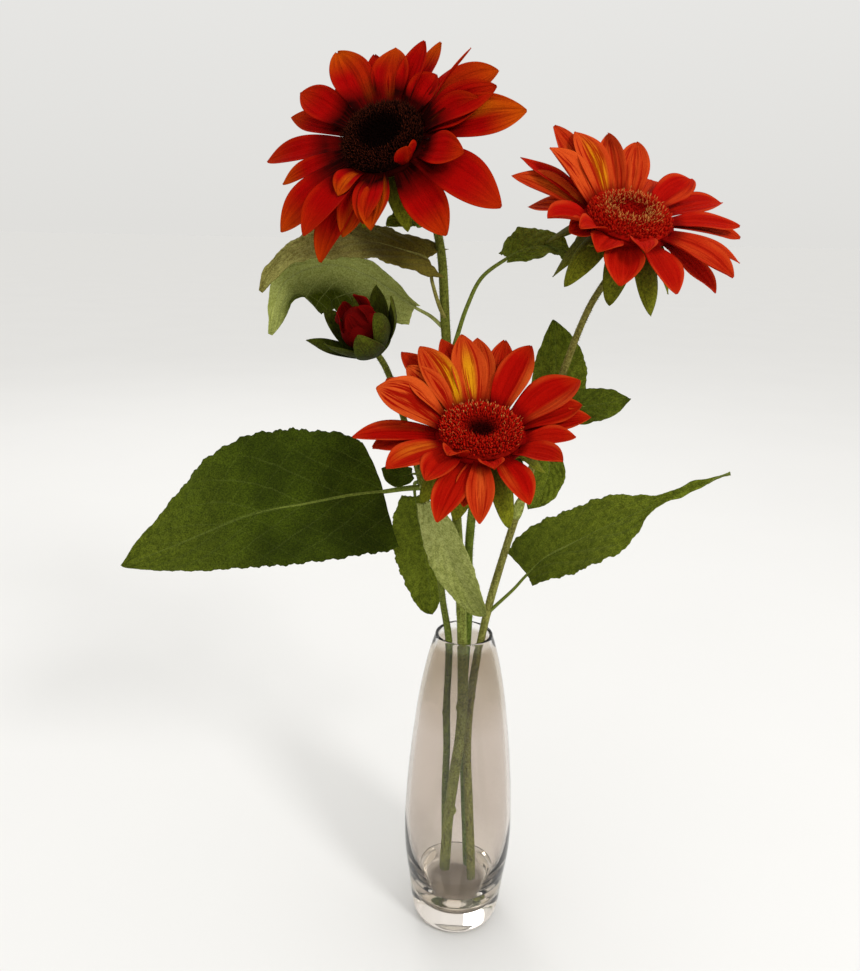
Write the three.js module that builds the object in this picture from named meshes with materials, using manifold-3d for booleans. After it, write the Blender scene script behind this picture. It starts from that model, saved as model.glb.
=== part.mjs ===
// A tall glass bud vase holding three red and orange sunflowers and one bud, on four leafy stems.
// Units are millimetres, +Z is up, and the origin is the middle of the vase's flat underside.
// The viewer stands on the -Y side, with +X to the right.

import * as THREE from 'three';
import { mergeVertices } from 'three/addons/utils/BufferGeometryUtils.js';
import Module from 'manifold-3d';

const wasm = await Module();
wasm.setup();

// ---- driving dimensions ----

const GAP = 0.35; // clearance between two nodes that touch

const VASE_HEIGHT = 254;
const VASE_BASE_RADIUS = 27.5;
const VASE_SEGMENTS = 24;
const LIP_OUTER_RADIUS = 21.9;
const LIP_INNER_RADIUS = 19.3;
const CAVITY_FLOOR = 17; // the base is solid glass up to here
const WATER_LEVEL = 37;
const WATER_SEGMENTS = 20;

const BLADE_THICKNESS = 0.8; // petals, sepals and leaves
const DISC_RADIUS = 25.8; // the dark centre of an open bloom
const COLLAR_RADIUS = 28.2; // the ring that the petals grow from
const COLLAR_TOP = -0.4; // heights along a bloom's axis, from the disc's rim
const COLLAR_BOTTOM = -4;
const PETAL_ROOT_RADIUS = 26.3;
const UPPER_ROW = -1.3;
const LOWER_ROW = -3.1;
const PETAL_WIDTH = 20.5;
const CALYX_BOTTOM = -19;
const BUD_BOTTOM = -18;
const BUD_CUP_TOP = -9.4;
const BRACTS = 10; // below each open bloom
const BRACT_ROOT_RADIUS = 20;

const STEM_SIDES = 8;
const STEM_STEPS = 20;
const PETIOLE_SIDES = 5;
const PETAL_STATIONS = 3;
const PETAL_CELLS = 2;
const COLLAR_SEGMENTS = 24;
const CALYX_SEGMENTS = 14;
const BUD_SEPALS = 8;
const BUD_PETALS = 5;

// ---- small tools ----

const vec = (x, y, z) => new THREE.Vector3(x, y, z);
const radians = THREE.MathUtils.degToRad;

// A repeatable number from 0 to 1 for item i and purpose k.
function draw(i, k) {
  const value = Math.sin(i * 12.9898 + k * 78.233) * 43758.5453;
  return value - Math.floor(value);
}

const drawAround = (i, k) => 2 * draw(i, k) - 1;

function indexed(positions, triangles) {
  const geometry = new THREE.BufferGeometry();
  geometry.setAttribute('position', new THREE.Float32BufferAttribute(positions, 3));
  geometry.setIndex(triangles);
  return geometry;
}

function toSolid(geometry) {
  const bare = geometry.clone();
  bare.deleteAttribute('normal');
  bare.deleteAttribute('uv');
  const merged = mergeVertices(bare, 1e-4);
  return new wasm.Manifold(new wasm.Mesh({
    numProp: 3,
    vertProperties: new Float32Array(merged.attributes.position.array),
    triVerts: new Uint32Array(merged.index.array),
  }));
}

function fromSolid(solid) {
  const mesh = solid.getMesh();
  return indexed(Array.from(mesh.vertProperties), Array.from(mesh.triVerts));
}

// The largest closed surface of a solid, without loose scraps and with any sealed hollow filled.
function largest(solid) {
  return solid.decompose().reduce((best, piece) => (piece.volume() > best.volume() ? piece : best));
}

function join(geometries) {
  return largest(geometries.map(toSolid).reduce((whole, next) => whole.add(next)));
}

// A thin closed blade. place(t, x) gives a point of its middle surface and the normal there, for t
// from 0 at the root to 1 at the tip and x from -1 to 1 across, rightwards as seen from above with
// the tip ahead. Both faces are split alike.
function blade(stations, cells, thickness, place) {
  const positions = [];
  const triangles = [];
  const across = cells + 1;
  const faceSize = (stations + 1) * across;
  for (const side of [0.5, -0.5]) {
    for (let i = 0; i <= stations; i += 1) {
      for (let j = 0; j <= cells; j += 1) {
        const { point, normal } = place(i / stations, (2 * j) / cells - 1);
        const corner = point.clone().addScaledVector(normal, side * thickness);
        positions.push(corner.x, corner.y, corner.z);
      }
    }
  }
  const quad = (a, b, c, d) => triangles.push(a, b, c, a, c, d);
  for (let i = 0; i < stations; i += 1) {
    for (let j = 0; j < cells; j += 1) {
      const a = i * across + j;
      const b = a + 1;
      const c = a + across + 1;
      const d = a + across;
      quad(a, b, c, d);
      triangles.push(faceSize + a, faceSize + c, faceSize + b);
      triangles.push(faceSize + a, faceSize + d, faceSize + c);
    }
  }
  const edge = [];
  for (let j = 0; j < cells; j += 1) edge.push(j);
  for (let i = 0; i < stations; i += 1) edge.push(i * across + cells);
  for (let j = cells; j > 0; j -= 1) edge.push(stations * across + j);
  for (let i = stations; i > 0; i -= 1) edge.push(i * across);
  edge.forEach((from, k) => {
    const to = edge[(k + 1) % edge.length];
    quad(from, faceSize + from, faceSize + to, to);
  });
  return indexed(positions, triangles);
}

// A closed round tube along a curve, with its radius given by radiusAt(t).
function tube(curve, steps, sides, radiusAt) {
  const frames = curve.computeFrenetFrames(steps, false);
  const positions = [];
  const triangles = [];
  for (let i = 0; i <= steps; i += 1) {
    const centre = curve.getPointAt(i / steps);
    const radius = radiusAt(i / steps);
    for (let j = 0; j < sides; j += 1) {
      const angle = (2 * Math.PI * j) / sides;
      const corner = centre.clone();
      corner.addScaledVector(frames.normals[i], radius * Math.cos(angle));
      corner.addScaledVector(frames.binormals[i], radius * Math.sin(angle));
      positions.push(corner.x, corner.y, corner.z);
    }
  }
  for (let i = 0; i < steps; i += 1) {
    for (let j = 0; j < sides; j += 1) {
      const next = (j + 1) % sides;
      const a = i * sides + j;
      const b = i * sides + next;
      triangles.push(a, b, b + sides, a, b + sides, a + sides);
    }
  }
  for (let j = 1; j < sides - 1; j += 1) {
    const last = steps * sides;
    triangles.push(0, j + 1, j);
    triangles.push(last, last + j, last + j + 1);
  }
  return indexed(positions, triangles);
}

const curveThrough = (points) => new THREE.CatmullRomCurve3(points.map((p) => vec(...p)));

const profile = (pairs) => pairs.map(([radius, height]) => new THREE.Vector2(radius, height));

const lathe = (pairs, segments) => new THREE.LatheGeometry(profile(pairs), segments).rotateX(Math.PI / 2);

// ---- vase and water ----

// Outer wall from the foot to the lip, as radius and height.
const VASE_OUTSIDE = [
  [31.6, 1.3], [34, 4.2], [35.9, 11], [39.3, 38], [42.3, 62], [43.2, 86], [42.4, 110],
  [40.2, 142], [36.9, 174], [32.8, 205], [27.6, 232], [24.2, 245],
];

// Inner wall from the lip down to the floor of the cavity.
const VASE_INSIDE = [
  [20.9, 245], [24.3, 232], [29.6, 205], [33.8, 174], [37.1, 142], [39.3, 110], [40.1, 86],
  [38.2, 62], [34.4, 46], [31.8, WATER_LEVEL], [28.9, 26], [25.3, 19.5], [21, CAVITY_FLOOR + 0.4],
];

function vaseGeometry() {
  return lathe([
    [0, 0], [VASE_BASE_RADIUS, 0], ...VASE_OUTSIDE,
    [LIP_OUTER_RADIUS, VASE_HEIGHT - 0.6], [LIP_OUTER_RADIUS - 0.8, VASE_HEIGHT],
    [LIP_INNER_RADIUS + 0.6, VASE_HEIGHT], [LIP_INNER_RADIUS, VASE_HEIGHT - 1],
    ...VASE_INSIDE, [0, CAVITY_FLOOR],
  ], VASE_SEGMENTS);
}

// The water stands on the cavity's floor, with a plain hole round each stem.
function waterGeometry(stemCores) {
  const body = lathe([
    [0, CAVITY_FLOOR + GAP], [20.5, CAVITY_FLOOR + 0.8], [25, 20.1], [28.4, 26.4],
    [31.2, WATER_LEVEL - 0.4], [30.9, WATER_LEVEL], [0, WATER_LEVEL],
  ], WATER_SEGMENTS);
  return fromSolid(stemCores.reduce((water, core) => water.subtract(toSolid(core)), toSolid(body)));
}

// ---- blooms ----

// A bloom's own frame: w along its axis, u level and to the right, v up the tilted face.
function bloomMatrix({ centre, axis }) {
  const w = vec(...axis).normalize();
  const u = vec(0, 0, 1).cross(w).normalize();
  const v = w.clone().cross(u);
  return new THREE.Matrix4().makeBasis(u, v, w).setPosition(...centre);
}

// The middle line of a petal that leaves the root at an angle round the axis. Its slope above the
// disc's plane runs from lift to lift + curl, and its heading turns by swing on the way.
function spine({ angle, root, height, length, lift, curl, swing, twist }) {
  const steps = 24;
  const outward = radians(angle);
  const position = vec(root * Math.cos(outward), root * Math.sin(outward), height);
  const places = [];
  for (let k = 0; k <= steps; k += 1) {
    const t = k / steps;
    const slope = radians(lift + curl * t);
    const heading = outward + radians(swing * t);
    const turn = radians(twist * t);
    const along = vec(
      Math.cos(slope) * Math.cos(heading),
      Math.cos(slope) * Math.sin(heading),
      Math.sin(slope),
    );
    const side = vec(Math.sin(heading), -Math.cos(heading), 0);
    const up = side.clone().cross(along);
    places.push({
      point: position.clone(),
      side: side.clone().multiplyScalar(Math.cos(turn)).addScaledVector(up, Math.sin(turn)),
      up: up.clone().multiplyScalar(Math.cos(turn)).addScaledVector(side, -Math.sin(turn)),
    });
    position.addScaledVector(along, length / steps);
  }
  return (t) => places[Math.round(t * steps)];
}

// Half the width of a petal as a share of its widest: a narrow claw, full past the middle, pointed.
function petalOutline(t) {
  return Math.sin(Math.PI * (0.09 + 0.9 * t ** 1.2)) ** 0.85;
}

// Half the width of a sepal as a share of its widest: broad at the root, drawn out to a point.
function sepalOutline(t) {
  return (1 - t) ** 0.75 * (1 + 1.3 * t) * 0.9 + 0.03;
}

function petalBlade(shape, outline) {
  const line = spine(shape);
  const halfWidth = shape.width / 2;
  return blade(PETAL_STATIONS, PETAL_CELLS, BLADE_THICKNESS, (t, x) => {
    const { point, side, up } = line(t);
    const reach = halfWidth * outline(t);
    return {
      point: point.clone().addScaledVector(side, x * reach).addScaledVector(up, shape.cup * x * x * reach),
      normal: up,
    };
  });
}

// Petals as [angle, length, lift, curl], in degrees and millimetres, round the disc from the right.
// A fifth number is the petal's width as a share of the usual one, and a sixth turns it about its
// own length.
const LEFT_PETALS = [
  [12, 63, 10, -20, 1.3, -45], [22, 50, 26, -24, 1.1, -30], [44, 58, 10, -26, 1.2, -25],
  [45, 49, 30, -10, 0.8, 60], [58, 26, 34, -34], [72, 50, 14, -14, 0.8, 20], [77, 42, 24, -10, 0.9],
  [95, 38, 26, -16, 1.2], [107, 38, 24, -16, 0.8], [124, 48, 26, -20, 1.2],
  [132, 42, 2, -16], [153, 47, 18, -20, 1.1, 20], [162, 50, 8, -20, 0.8, 10], [184, 60, 2, -22],
  [205, 44, 2, -16, 0.7], [226, 59, 2, -22, 1.2], [245, 53, 12, -26, 1.15],
  [250, 59, -4, -24, 1.15], [261, 42, 0, -20], [279, 42, 14, -24], [310, 49, -10, -30, 1.2],
  [338, 61, -10, -30, 1.5],
];
const LEFT_INNER_PETALS = [
  [249, 24, 50, -80], [274, 39, 34, -56, 1.1], [320, 21, 66, 0], [344, 33, 34, -44, 1.3, -20],
  [19, 40, 30, -30, 1.3, -30],
];
const RIGHT_PETALS = [
  [-3, 45, 10, -18, 0.8, -10], [24, 54, 8, -20], [36, 38, 22, -18], [59, 36, 10, -20, 0.9],
  [74, 43, 34, -16, 1.05], [91, 48, 34, -18, 0.75, 50], [111, 47, 42, -18, 1.1], [119, 58, 34, -14],
  [137, 43, 44, -18, 1.15], [143, 54, 24, -16, 0.8], [152, 52, 18, -16, 1.15], [157, 37, 10, -36, 0.9],
  [190, 32, 34, -40, 1.1], [202, 19, 32, -46, 0.9], [232, 24, 36, -56], [250, 34, 10, -40, 1.1],
  [283, 38, 6, -34, 1.05], [313, 44, -8, -22], [312, 47, 8, -26], [335, 46, 4, -22, 0.65],
  [357, 49, 2, -18, 0.9],
];
const RIGHT_INNER_PETALS = [[214, 26, 58, -62], [264, 27, 58, -72]];
const FRONT_PETALS = [
  [13, 46, 14, -18, 0.85, -10], [18, 43, 18, -18, 1, -10], [30, 51, 26, -18, 1.4],
  [62, 50, 40, -18, 1.2], [74, 54, 34, -18, 1.05], [88, 52, 34, -16], [97, 51, 42, -16, 1.1],
  [105, 56, 32, -16], [124, 49, 42, -18, 1.2], [128, 57, 28, -16], [138, 41, 40, -18, 1.15, 15],
  [144, 49, 20, -18], [160, 46, 34, -18, 1.5, 25], [177, 53, 8, -20, 0.95], [182, 41, 0, -22, 1.1],
  [207, 40, 14, -28, 1, 15], [229, 29, 20, -40], [247, 46, 2, -28, 1.05], [257, 30, -4, -24, 0.7],
  [266, 44, 4, -30, 0.75], [293, 36, 10, -36], [320, 34, 32, -24, 1, -10],
  [352, 32, 20, -18, 0.7, -10],
];
const FRONT_INNER_PETALS = [[236, 19, 72, -62], [276, 20, 68, -70]];

// Fills in a petal's lesser measures by rule, so that no two lie alike. A petal that is steeper than
// the one before it grows from the upper row, and any other from the lower row.
function petalShapes(petals, seed, widthShare) {
  return petals.map(([angle, length, lift, curl, wide = 1, turn = 0], i) => ({
    angle,
    length,
    lift,
    curl,
    root: PETAL_ROOT_RADIUS,
    height: lift >= petals.at(i - 1)[2] ? UPPER_ROW : LOWER_ROW,
    swing: 7 * drawAround(i, seed),
    twist: turn + 8 * drawAround(i, seed + 1),
    width: PETAL_WIDTH * widthShare * wide * (0.94 + 0.16 * draw(i, seed + 2)),
    cup: 0.3 + 0.16 * drawAround(i, seed + 3),
  }));
}

function petalRing(outer, inner, seed) {
  const shapes = [...petalShapes(outer, seed, 1), ...petalShapes(inner, seed + 5, 0.8)];
  const collar = lathe([
    [0, COLLAR_BOTTOM], [COLLAR_RADIUS, COLLAR_BOTTOM],
    [COLLAR_RADIUS, COLLAR_TOP], [0, COLLAR_TOP],
  ], COLLAR_SEGMENTS);
  const petals = shapes.map((shape) => petalBlade(shape, petalOutline));
  return fromSolid(join([collar, ...petals]));
}

// The disc: a raised ring round a dished middle, set all over with florets in rings. Odd and even
// florets stand high and low, so the relief covers it like a seed head.
const DISC_RINGS = 8;
const DISC_SECTORS = 32;

function discHeight(share) {
  return 1 + 4.8 * Math.sin(Math.PI * share ** 1.6) ** 0.9;
}

function discGeometry() {
  const positions = [0, 0, discHeight(0)];
  const triangles = [];
  for (let ring = 1; ring <= DISC_RINGS; ring += 1) {
    const share = ring / DISC_RINGS;
    for (let sector = 0; sector < DISC_SECTORS; sector += 1) {
      const angle = (2 * Math.PI * (sector + ring / 2)) / DISC_SECTORS;
      const relief = ring === DISC_RINGS ? 0 : (sector % 2 === 0 ? 1 : -0.6) * (0.5 + share);
      const radius = DISC_RADIUS * share;
      positions.push(radius * Math.cos(angle), radius * Math.sin(angle), discHeight(share) + relief);
    }
  }
  positions.push(0, 0, 0);
  const base = positions.length / 3 - 1;
  const at = (ring, sector) => 1 + (ring - 1) * DISC_SECTORS + (sector % DISC_SECTORS);
  for (let sector = 0; sector < DISC_SECTORS; sector += 1) {
    triangles.push(0, at(1, sector), at(1, sector + 1));
    for (let ring = 1; ring < DISC_RINGS; ring += 1) {
      triangles.push(at(ring, sector), at(ring + 1, sector), at(ring + 1, sector + 1));
      triangles.push(at(ring, sector), at(ring + 1, sector + 1), at(ring, sector + 1));
    }
    triangles.push(base, at(DISC_RINGS, sector + 1), at(DISC_RINGS, sector));
  }
  return indexed(positions, triangles);
}

// The green cup under a bloom, with pointed bracts that bend back below the petals.
function calyxGeometry(seed, length, lift) {
  const top = COLLAR_BOTTOM - GAP;
  const cup = lathe([
    [0, CALYX_BOTTOM], [4.4, CALYX_BOTTOM], [8, -15], [22, -9], [26, -5.6],
    [25, top], [0, top],
  ], CALYX_SEGMENTS);
  const blades = [];
  for (let i = 0; i < BRACTS; i += 1) {
    blades.push(petalBlade({
      angle: (360 * (i + 0.2 * drawAround(i, seed))) / BRACTS,
      root: BRACT_ROOT_RADIUS,
      height: i % 2 === 0 ? -6.4 : -7.8,
      length: length * (0.9 + 0.25 * draw(i, seed + 1)),
      lift: lift - (i % 2 === 0 ? 0 : 14) - 4 * draw(i, seed + 2),
      curl: -22 - 10 * draw(i, seed + 3),
      swing: 10 * drawAround(i, seed + 4),
      twist: 14 * drawAround(i, seed + 5),
      width: 16 + 3 * draw(i, seed + 6),
      cup: -0.2,
    }, sepalOutline));
  }
  return fromSolid(join([cup, ...blades]));
}

const BLOOMS = {
  left: {
    centre: [-61.7, -27, 600.3], axis: [-0.264, -0.759, 0.595],
    outer: LEFT_PETALS, inner: LEFT_INNER_PETALS,
    seed: 11, bractLength: 38, bractLift: -20, petalColour: 0xa01404, discColour: 0x1c0d06,
  },
  right: {
    centre: [90.1, -43, 556.1], axis: [0.086, -0.526, 0.846],
    outer: RIGHT_PETALS, inner: RIGHT_INNER_PETALS,
    seed: 31, bractLength: 38, bractLift: -32, petalColour: 0xc62a06, discColour: 0x5a1a0a,
  },
  front: {
    centre: [2.3, -81, 428.8], axis: [0.016, -0.436, 0.9],
    outer: FRONT_PETALS, inner: FRONT_INNER_PETALS,
    seed: 51, bractLength: 38, bractLift: -30, petalColour: 0xd23a08, discColour: 0x5c1208,
  },
};

// ---- bud ----

const BUD = { centre: [-73, -34, 483], axis: [-0.42, -0.45, 0.79], radius: 14, length: 27 };

// Sepals that clasp the bud from a small green base and end in spikes. Every second one lies outside.
function budSepals() {
  const base = lathe([
    [0, BUD_BOTTOM], [3.6, BUD_BOTTOM], [9.8, -15], [14.2, -11.4], [13.6, BUD_CUP_TOP],
    [0, BUD_CUP_TOP],
  ], CALYX_SEGMENTS);
  const sepals = [];
  for (let i = 0; i < BUD_SEPALS; i += 1) {
    const outer = i % 2;
    sepals.push(petalBlade({
      angle: (360 * i) / BUD_SEPALS + 4 * drawAround(i, 71),
      root: 12 + 0.8 * outer,
      height: -10.7 - 1.2 * outer,
      length: 29 + 9 * draw(i, 72),
      lift: 44 - 8 * outer,
      curl: 60 - 34 * draw(i, 73),
      swing: 4 * drawAround(i, 74),
      twist: 0,
      width: 19,
      cup: 0.28,
    }, sepalOutline));
  }
  return fromSolid(join([base, ...sepals]));
}

// The shut petals: an egg-shaped core with petal edges standing out of it round the point.
function budPetals() {
  const bottom = BUD_CUP_TOP + GAP;
  const core = [[0, bottom]];
  const rings = 6;
  for (let k = 0; k < rings; k += 1) {
    const share = (k + 0.5) / rings;
    core.push([BUD.radius * Math.sin(Math.PI * (0.16 + 0.76 * share)) ** 0.8, bottom + BUD.length * share]);
  }
  core.push([0, bottom + BUD.length]);
  const petals = [];
  for (let i = 0; i < BUD_PETALS; i += 1) {
    petals.push(petalBlade({
      angle: (360 * i) / BUD_PETALS + 20,
      root: 8,
      height: 3 + 1.5 * (i % 2),
      length: 18 + 4 * draw(i, 81),
      lift: 70,
      curl: 40,
      swing: 20,
      twist: 16,
      width: 11,
      cup: -0.3,
    }, petalOutline));
  }
  return fromSolid(join([lathe(core, 12), ...petals]));
}

// ---- stems ----

// Routes from the cut end up to where the neck turns into the bloom, as [x, y, z].
const STEM_ROUTES = {
  left: {
    radius: [4.5, 2.8], points: [
      [-9.5, 13, 18.2], [-8.6, 9, 50], [-7, 4, 90], [-3.8, -1, 130], [-0.6, -5, 165], [0.2, -7.5, 205],
      [-1.6, -9, 250], [-4, -9, 290], [-9.5, -8, 360], [-15.5, -7, 430], [-20, -5, 485], [-25, -3, 538],
      [-33, 1, 561],
    ],
  },
  right: {
    radius: [3.7, 2.1], points: [
      [14, -1, 18.2], [11.5, 0, 60], [8.8, 2, 100], [6.2, 4, 140], [6.2, 6.5, 175], [9, 7, 212],
      [14.2, 5, 250], [19.5, 2.5, 282], [29, -2, 326], [41, -8, 377], [57, -15, 445], [73, -23, 500],
    ],
  },
  front: {
    radius: [3, 2.9], points: [
      [10.5, 17, 19.8], [8, 16.5, 60], [5, 15.5, 110], [2.2, 15, 160], [2, 11.5, 210], [3.2, 7, 250],
      [3, -3, 290], [0.5, -21, 326], [0.4, -45, 364],
    ],
  },
  bud: {
    radius: [3.1, 2.1], points: [
      [-7.5, 21.5, 21.4], [-9.5, 18, 60], [-10.6, 12.5, 110], [-10.6, 5, 150], [-11.8, -0.5, 190],
      [-11.5, -5.5, 248], [-17, -8.5, 284], [-23.5, -12, 334], [-34, -17, 376], [-46, -21, 420],
    ],
  },
};

// The neck follows the bloom's axis for its last stretch and stops just short of the calyx.
function stemCurve(name) {
  const { centre, axis } = name === 'bud' ? BUD : BLOOMS[name];
  const depth = name === 'bud' ? BUD_BOTTOM : CALYX_BOTTOM;
  const along = vec(...axis).normalize();
  const end = (drop) => vec(...centre).addScaledVector(along, depth - drop);
  const neck = [end(15), end(GAP)].map((p) => p.toArray());
  return curveThrough([...STEM_ROUTES[name].points, ...neck]);
}

function stemTube(name, extra) {
  const [low, high] = STEM_ROUTES[name].radius;
  return tube(stemCurve(name), STEM_STEPS, STEM_SIDES, (t) => low + (high - low) * t + extra);
}

// ---- leaves ----

// Half the width of a leaf as a share of its widest: heart-shaped at the base, widest at peak and
// drawn to a point. A large taper leaves it no wider than a tail for the last stretch.
function leafOutline(t, peak, base, taper, tail) {
  if (t < peak) return base + (1 - base) * Math.sin((Math.PI / 2) * (t / peak));
  const body = Math.cos((Math.PI / 2) * ((t - peak) / (1 - peak)) ** 1.15) ** taper;
  return Math.max(body, tail * (1 - t)) * 0.99 + 0.01;
}

// A leaf lies along its midrib. facing is the way its upper side looks, at the base and at the
// tip. halves are its widths left and right of the midrib, fold lifts both edges, and lobes are how
// far the base reaches back past the stalk on each side.
function leafBlade(leaf) {
  const { midrib, facing, halves, lobes } = leaf;
  const { peak = [0.3, 0.3], base = [0.42, 0.42], taper = [0.9, 0.9], tail = 0, fold = 8 } = leaf;
  const { wave = 2, waves = 2, stations = 8, cells = 4 } = leaf;
  const curve = curveThrough(midrib);
  const from = vec(...facing[0]).normalize();
  const to = vec(...facing[facing.length - 1]).normalize();
  const start = curve.getTangentAt(0);
  return blade(stations, cells, BLADE_THICKNESS, (t, x) => {
    const along = curve.getTangentAt(t);
    const look = from.clone().lerp(to, t);
    const side = along.clone().cross(look).normalize();
    const up = side.clone().cross(along);
    const tooth = 1 + (Math.round(t * stations) % 2 === 0 ? 0.035 : -0.035);
    const half = x < 0 ? 0 : 1;
    const outline = leafOutline(t, peak[half], base[half], taper[half], tail);
    const reach = halves[half] * outline * tooth * Math.abs(x);
    const rise = radians(fold);
    const ripple = wave * x * x * Math.sin(2 * Math.PI * (waves * t + 0.3 * x));
    const point = curve.getPointAt(t);
    point.addScaledVector(start, -lobes[half] * (1 - t) ** 4 * Math.abs(x) ** 1.5);
    point.addScaledVector(side, Math.sign(x) * reach * Math.cos(rise));
    point.addScaledVector(up, reach * Math.sin(rise) + ripple);
    return { point, normal: up };
  });
}

// A leaf with its stalk, cut back to clear the stem that it grows from.
function leafGeometry(leaf, stemCores) {
  const intoBlade = curveThrough(leaf.midrib).getPointAt(0.05).toArray();
  const stalk = curveThrough([...leaf.stalk, leaf.midrib[0], intoBlade]);
  const thick = leaf.stalkRadius ?? 1.5;
  const stalkTube = tube(stalk, leaf.stalkSteps ?? 4, PETIOLE_SIDES, (t) => thick * (1 - 0.45 * t));
  let solid = join([leafBlade(leaf), stalkTube]);
  for (const core of stemCores) solid = solid.subtract(core);
  return fromSolid(largest(solid));
}

const LEAVES = {
  leaf_large_left: {
    stem: 'bud', stalk: [[-33.5, -16.5, 374], [-46, -17.5, 373]],
    midrib: [
      [-61, -19, 371], [-80, -24, 370], [-107, -31, 366], [-150, -37, 358], [-193, -41, 340],
      [-240, -43, 320],
    ],
    facing: [[0, -0.8, 0.6], [-0.1, -0.85, 0.5]], halves: [45, 56], lobes: [4, -10], peak: [0.12, 0.3],
    base: [0.95, 0.66], taper: [0.95, 1.05], fold: 5, wave: 3, stations: 10, stalkRadius: 2.2,
  },
  leaf_right: {
    stem: 'right', stalk: [[17, 3.5, 268], [24, 1, 277], [36, -1, 291]],
    midrib: [
      [45, -3, 304], [57, -5, 318], [71, -6, 327], [95, -10, 343], [122, -14, 359], [150, -18, 376],
      [180, -20, 390],
    ],
    facing: [[-0.35, -0.62, 0.7], [-0.3, -0.35, 0.85]], halves: [27, 29], lobes: [4, 0],
    peak: [0.3, 0.38], base: [1, 0.42], taper: [3.6, 8], tail: 0.55, waves: 3, stations: 10,
  },
  leaf_hanging_back: {
    stem: 'bud', stalk: [[-35, -15.5, 377], [-39, -7, 374]],
    midrib: [[-39, -1, 362], [-36, 3, 340], [-32, 5, 318], [-28, 6, 294], [-24, 6, 266]],
    facing: [[-0.1, -1, 0.1]], halves: [17, 22], lobes: [3, 3], peak: [0.35, 0.35], taper: [0.75, 0.5],
    fold: 6, wave: 1.5,
  },
  leaf_hanging_front: {
    stem: 'bud', stalk: [[-34.5, -19, 375], [-33, -23.5, 374]],
    midrib: [[-30, -29, 366], [-21, -32, 347], [-9, -33, 318], [3, -31, 297], [14, -26, 281]],
    facing: [[-0.45, -0.85, 0.1]], halves: [18, 15], lobes: [3, 3], peak: [0.35, 0.35],
    taper: [0.85, 0.45], fold: 16, wave: 1,
  },
  leaf_small_left: {
    stem: 'bud', stalk: [[-36.5, -18, 384]],
    midrib: [[-41, -17.5, 384], [-47, -17, 382], [-54, -17, 382], [-62, -19, 388]],
    facing: [[0, -0.7, 0.7]], halves: [9, 9], lobes: [1, 1], peak: [0.4, 0.4], fold: 4, wave: 0.6,
    waves: 1, stations: 5, cells: 2, stalkRadius: 1, stalkSteps: 3,
  },
  leaf_upper_pale: {
    stem: 'left', stalk: [[-20.5, -4.5, 483], [-30, -2, 491]],
    midrib: [
      [-41, 0, 497], [-56, 2, 507], [-75, 3, 518], [-100, 1, 524], [-128, -6, 512], [-137, -16, 478],
    ],
    facing: [[0.1, 0.8, 0.5], [0.5, 0.75, 0.3]], halves: [13, 34], lobes: [3, 3], peak: [0.42, 0.42],
    fold: -14, stations: 9,
  },
  leaf_upper_dark: {
    stem: 'left', stalk: [[-20.5, -6, 490], [-25, -11, 500], [-29.5, -13, 514]],
    midrib: [
      [-33, -11, 529], [-58, -13, 537], [-86, -15, 541], [-111, -18, 536], [-130, -22, 523],
      [-141, -26, 507],
    ],
    facing: [[0, -0.6, 0.8]], halves: [20, 18], lobes: [14, 12], peak: [0.25, 0.25], base: [0.55, 0.75],
    fold: 4, stations: 9, stalkSteps: 8,
  },
  leaf_under_left_bloom: {
    stem: 'left', stalk: [[-27.5, -3, 546], [-33, -8, 551]],
    midrib: [[-38, -12, 553], [-44, -15, 554], [-51, -18, 553], [-60, -21, 550]],
    facing: [[-0.2, -0.7, 0.6]], halves: [9, 9], lobes: [2, 2], peak: [0.4, 0.4], fold: 6, wave: 1,
    waves: 1, stations: 5, cells: 2, stalkRadius: 1.3,
  },
  leaf_by_right_bloom: {
    stem: 'left', stalk: [[-17.5, -7, 457], [-12, -9, 479], [-6, -11, 499], [3, -13, 518]],
    midrib: [[19, -15, 531], [31, -13, 537], [44, -9, 539], [56, -4, 536], [66, 1, 530]],
    facing: [[-0.1, -0.55, 0.8]], halves: [18, 16], lobes: [3, 3], peak: [0.4, 0.4], fold: 10,
    wave: 1.5, stalkRadius: 1.7, stalkSteps: 8,
  },
  leaf_behind_right_stem: {
    stem: 'right', stalk: [[51.5, -11, 419]],
    midrib: [[54, -4, 425], [56.5, -1, 444], [57, 2, 467], [54, 4, 490]],
    facing: [[0, -1, 0.2]], halves: [16, 22], lobes: [4, 4], peak: [0.36, 0.36], fold: 6, wave: 1.5,
  },
  leaf_small_right: {
    stem: 'right', stalk: [[54, -14, 430]],
    midrib: [[61, -15, 431], [76, -17, 434], [91, -18, 437], [107, -18, 440]],
    facing: [[0.05, -0.75, 0.62]], halves: [13, 14], lobes: [3, 3], peak: [0.36, 0.36], fold: 6,
    wave: 1.2,
  },
  leaf_low_right: {
    stem: 'right', stalk: [[46, -9, 398], [52, -4, 400]],
    midrib: [[54, -2, 398], [57, -2, 385], [53, -3, 370], [43, -4, 355]],
    facing: [[0, -1, 0.15]], halves: [12, 17], lobes: [3, 3], peak: [0.4, 0.4], wave: 1.2,
  },
};

// ---- materials ----

function finish(color, roughness, opacity = 1) {
  return new THREE.MeshStandardMaterial({
    color, roughness, metalness: 0, opacity, transparent: opacity < 1,
  });
}

const GLASS = finish(0xcfc6bd, 0.05, 0.35);
const WATER = finish(0xe4e4dc, 0.03, 0.45);
const STEM_GREEN = finish(0x5f7340, 0.75);
const LEAF_GREEN = finish(0x3f5a1e, 0.8);
const CALYX_GREEN = finish(0x6b8030, 0.8);
const BUD_RED = finish(0x8c0f0a, 0.7);

// ---- assembly ----

const group = new THREE.Group();

function addNode(name, geometry, material, parent = group) {
  geometry.computeVertexNormals();
  const mesh = new THREE.Mesh(geometry, material);
  mesh.name = name;
  parent.add(mesh);
}

function headGroup(flower) {
  const head = new THREE.Group();
  head.applyMatrix4(bloomMatrix(flower));
  group.add(head);
  return head;
}

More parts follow.
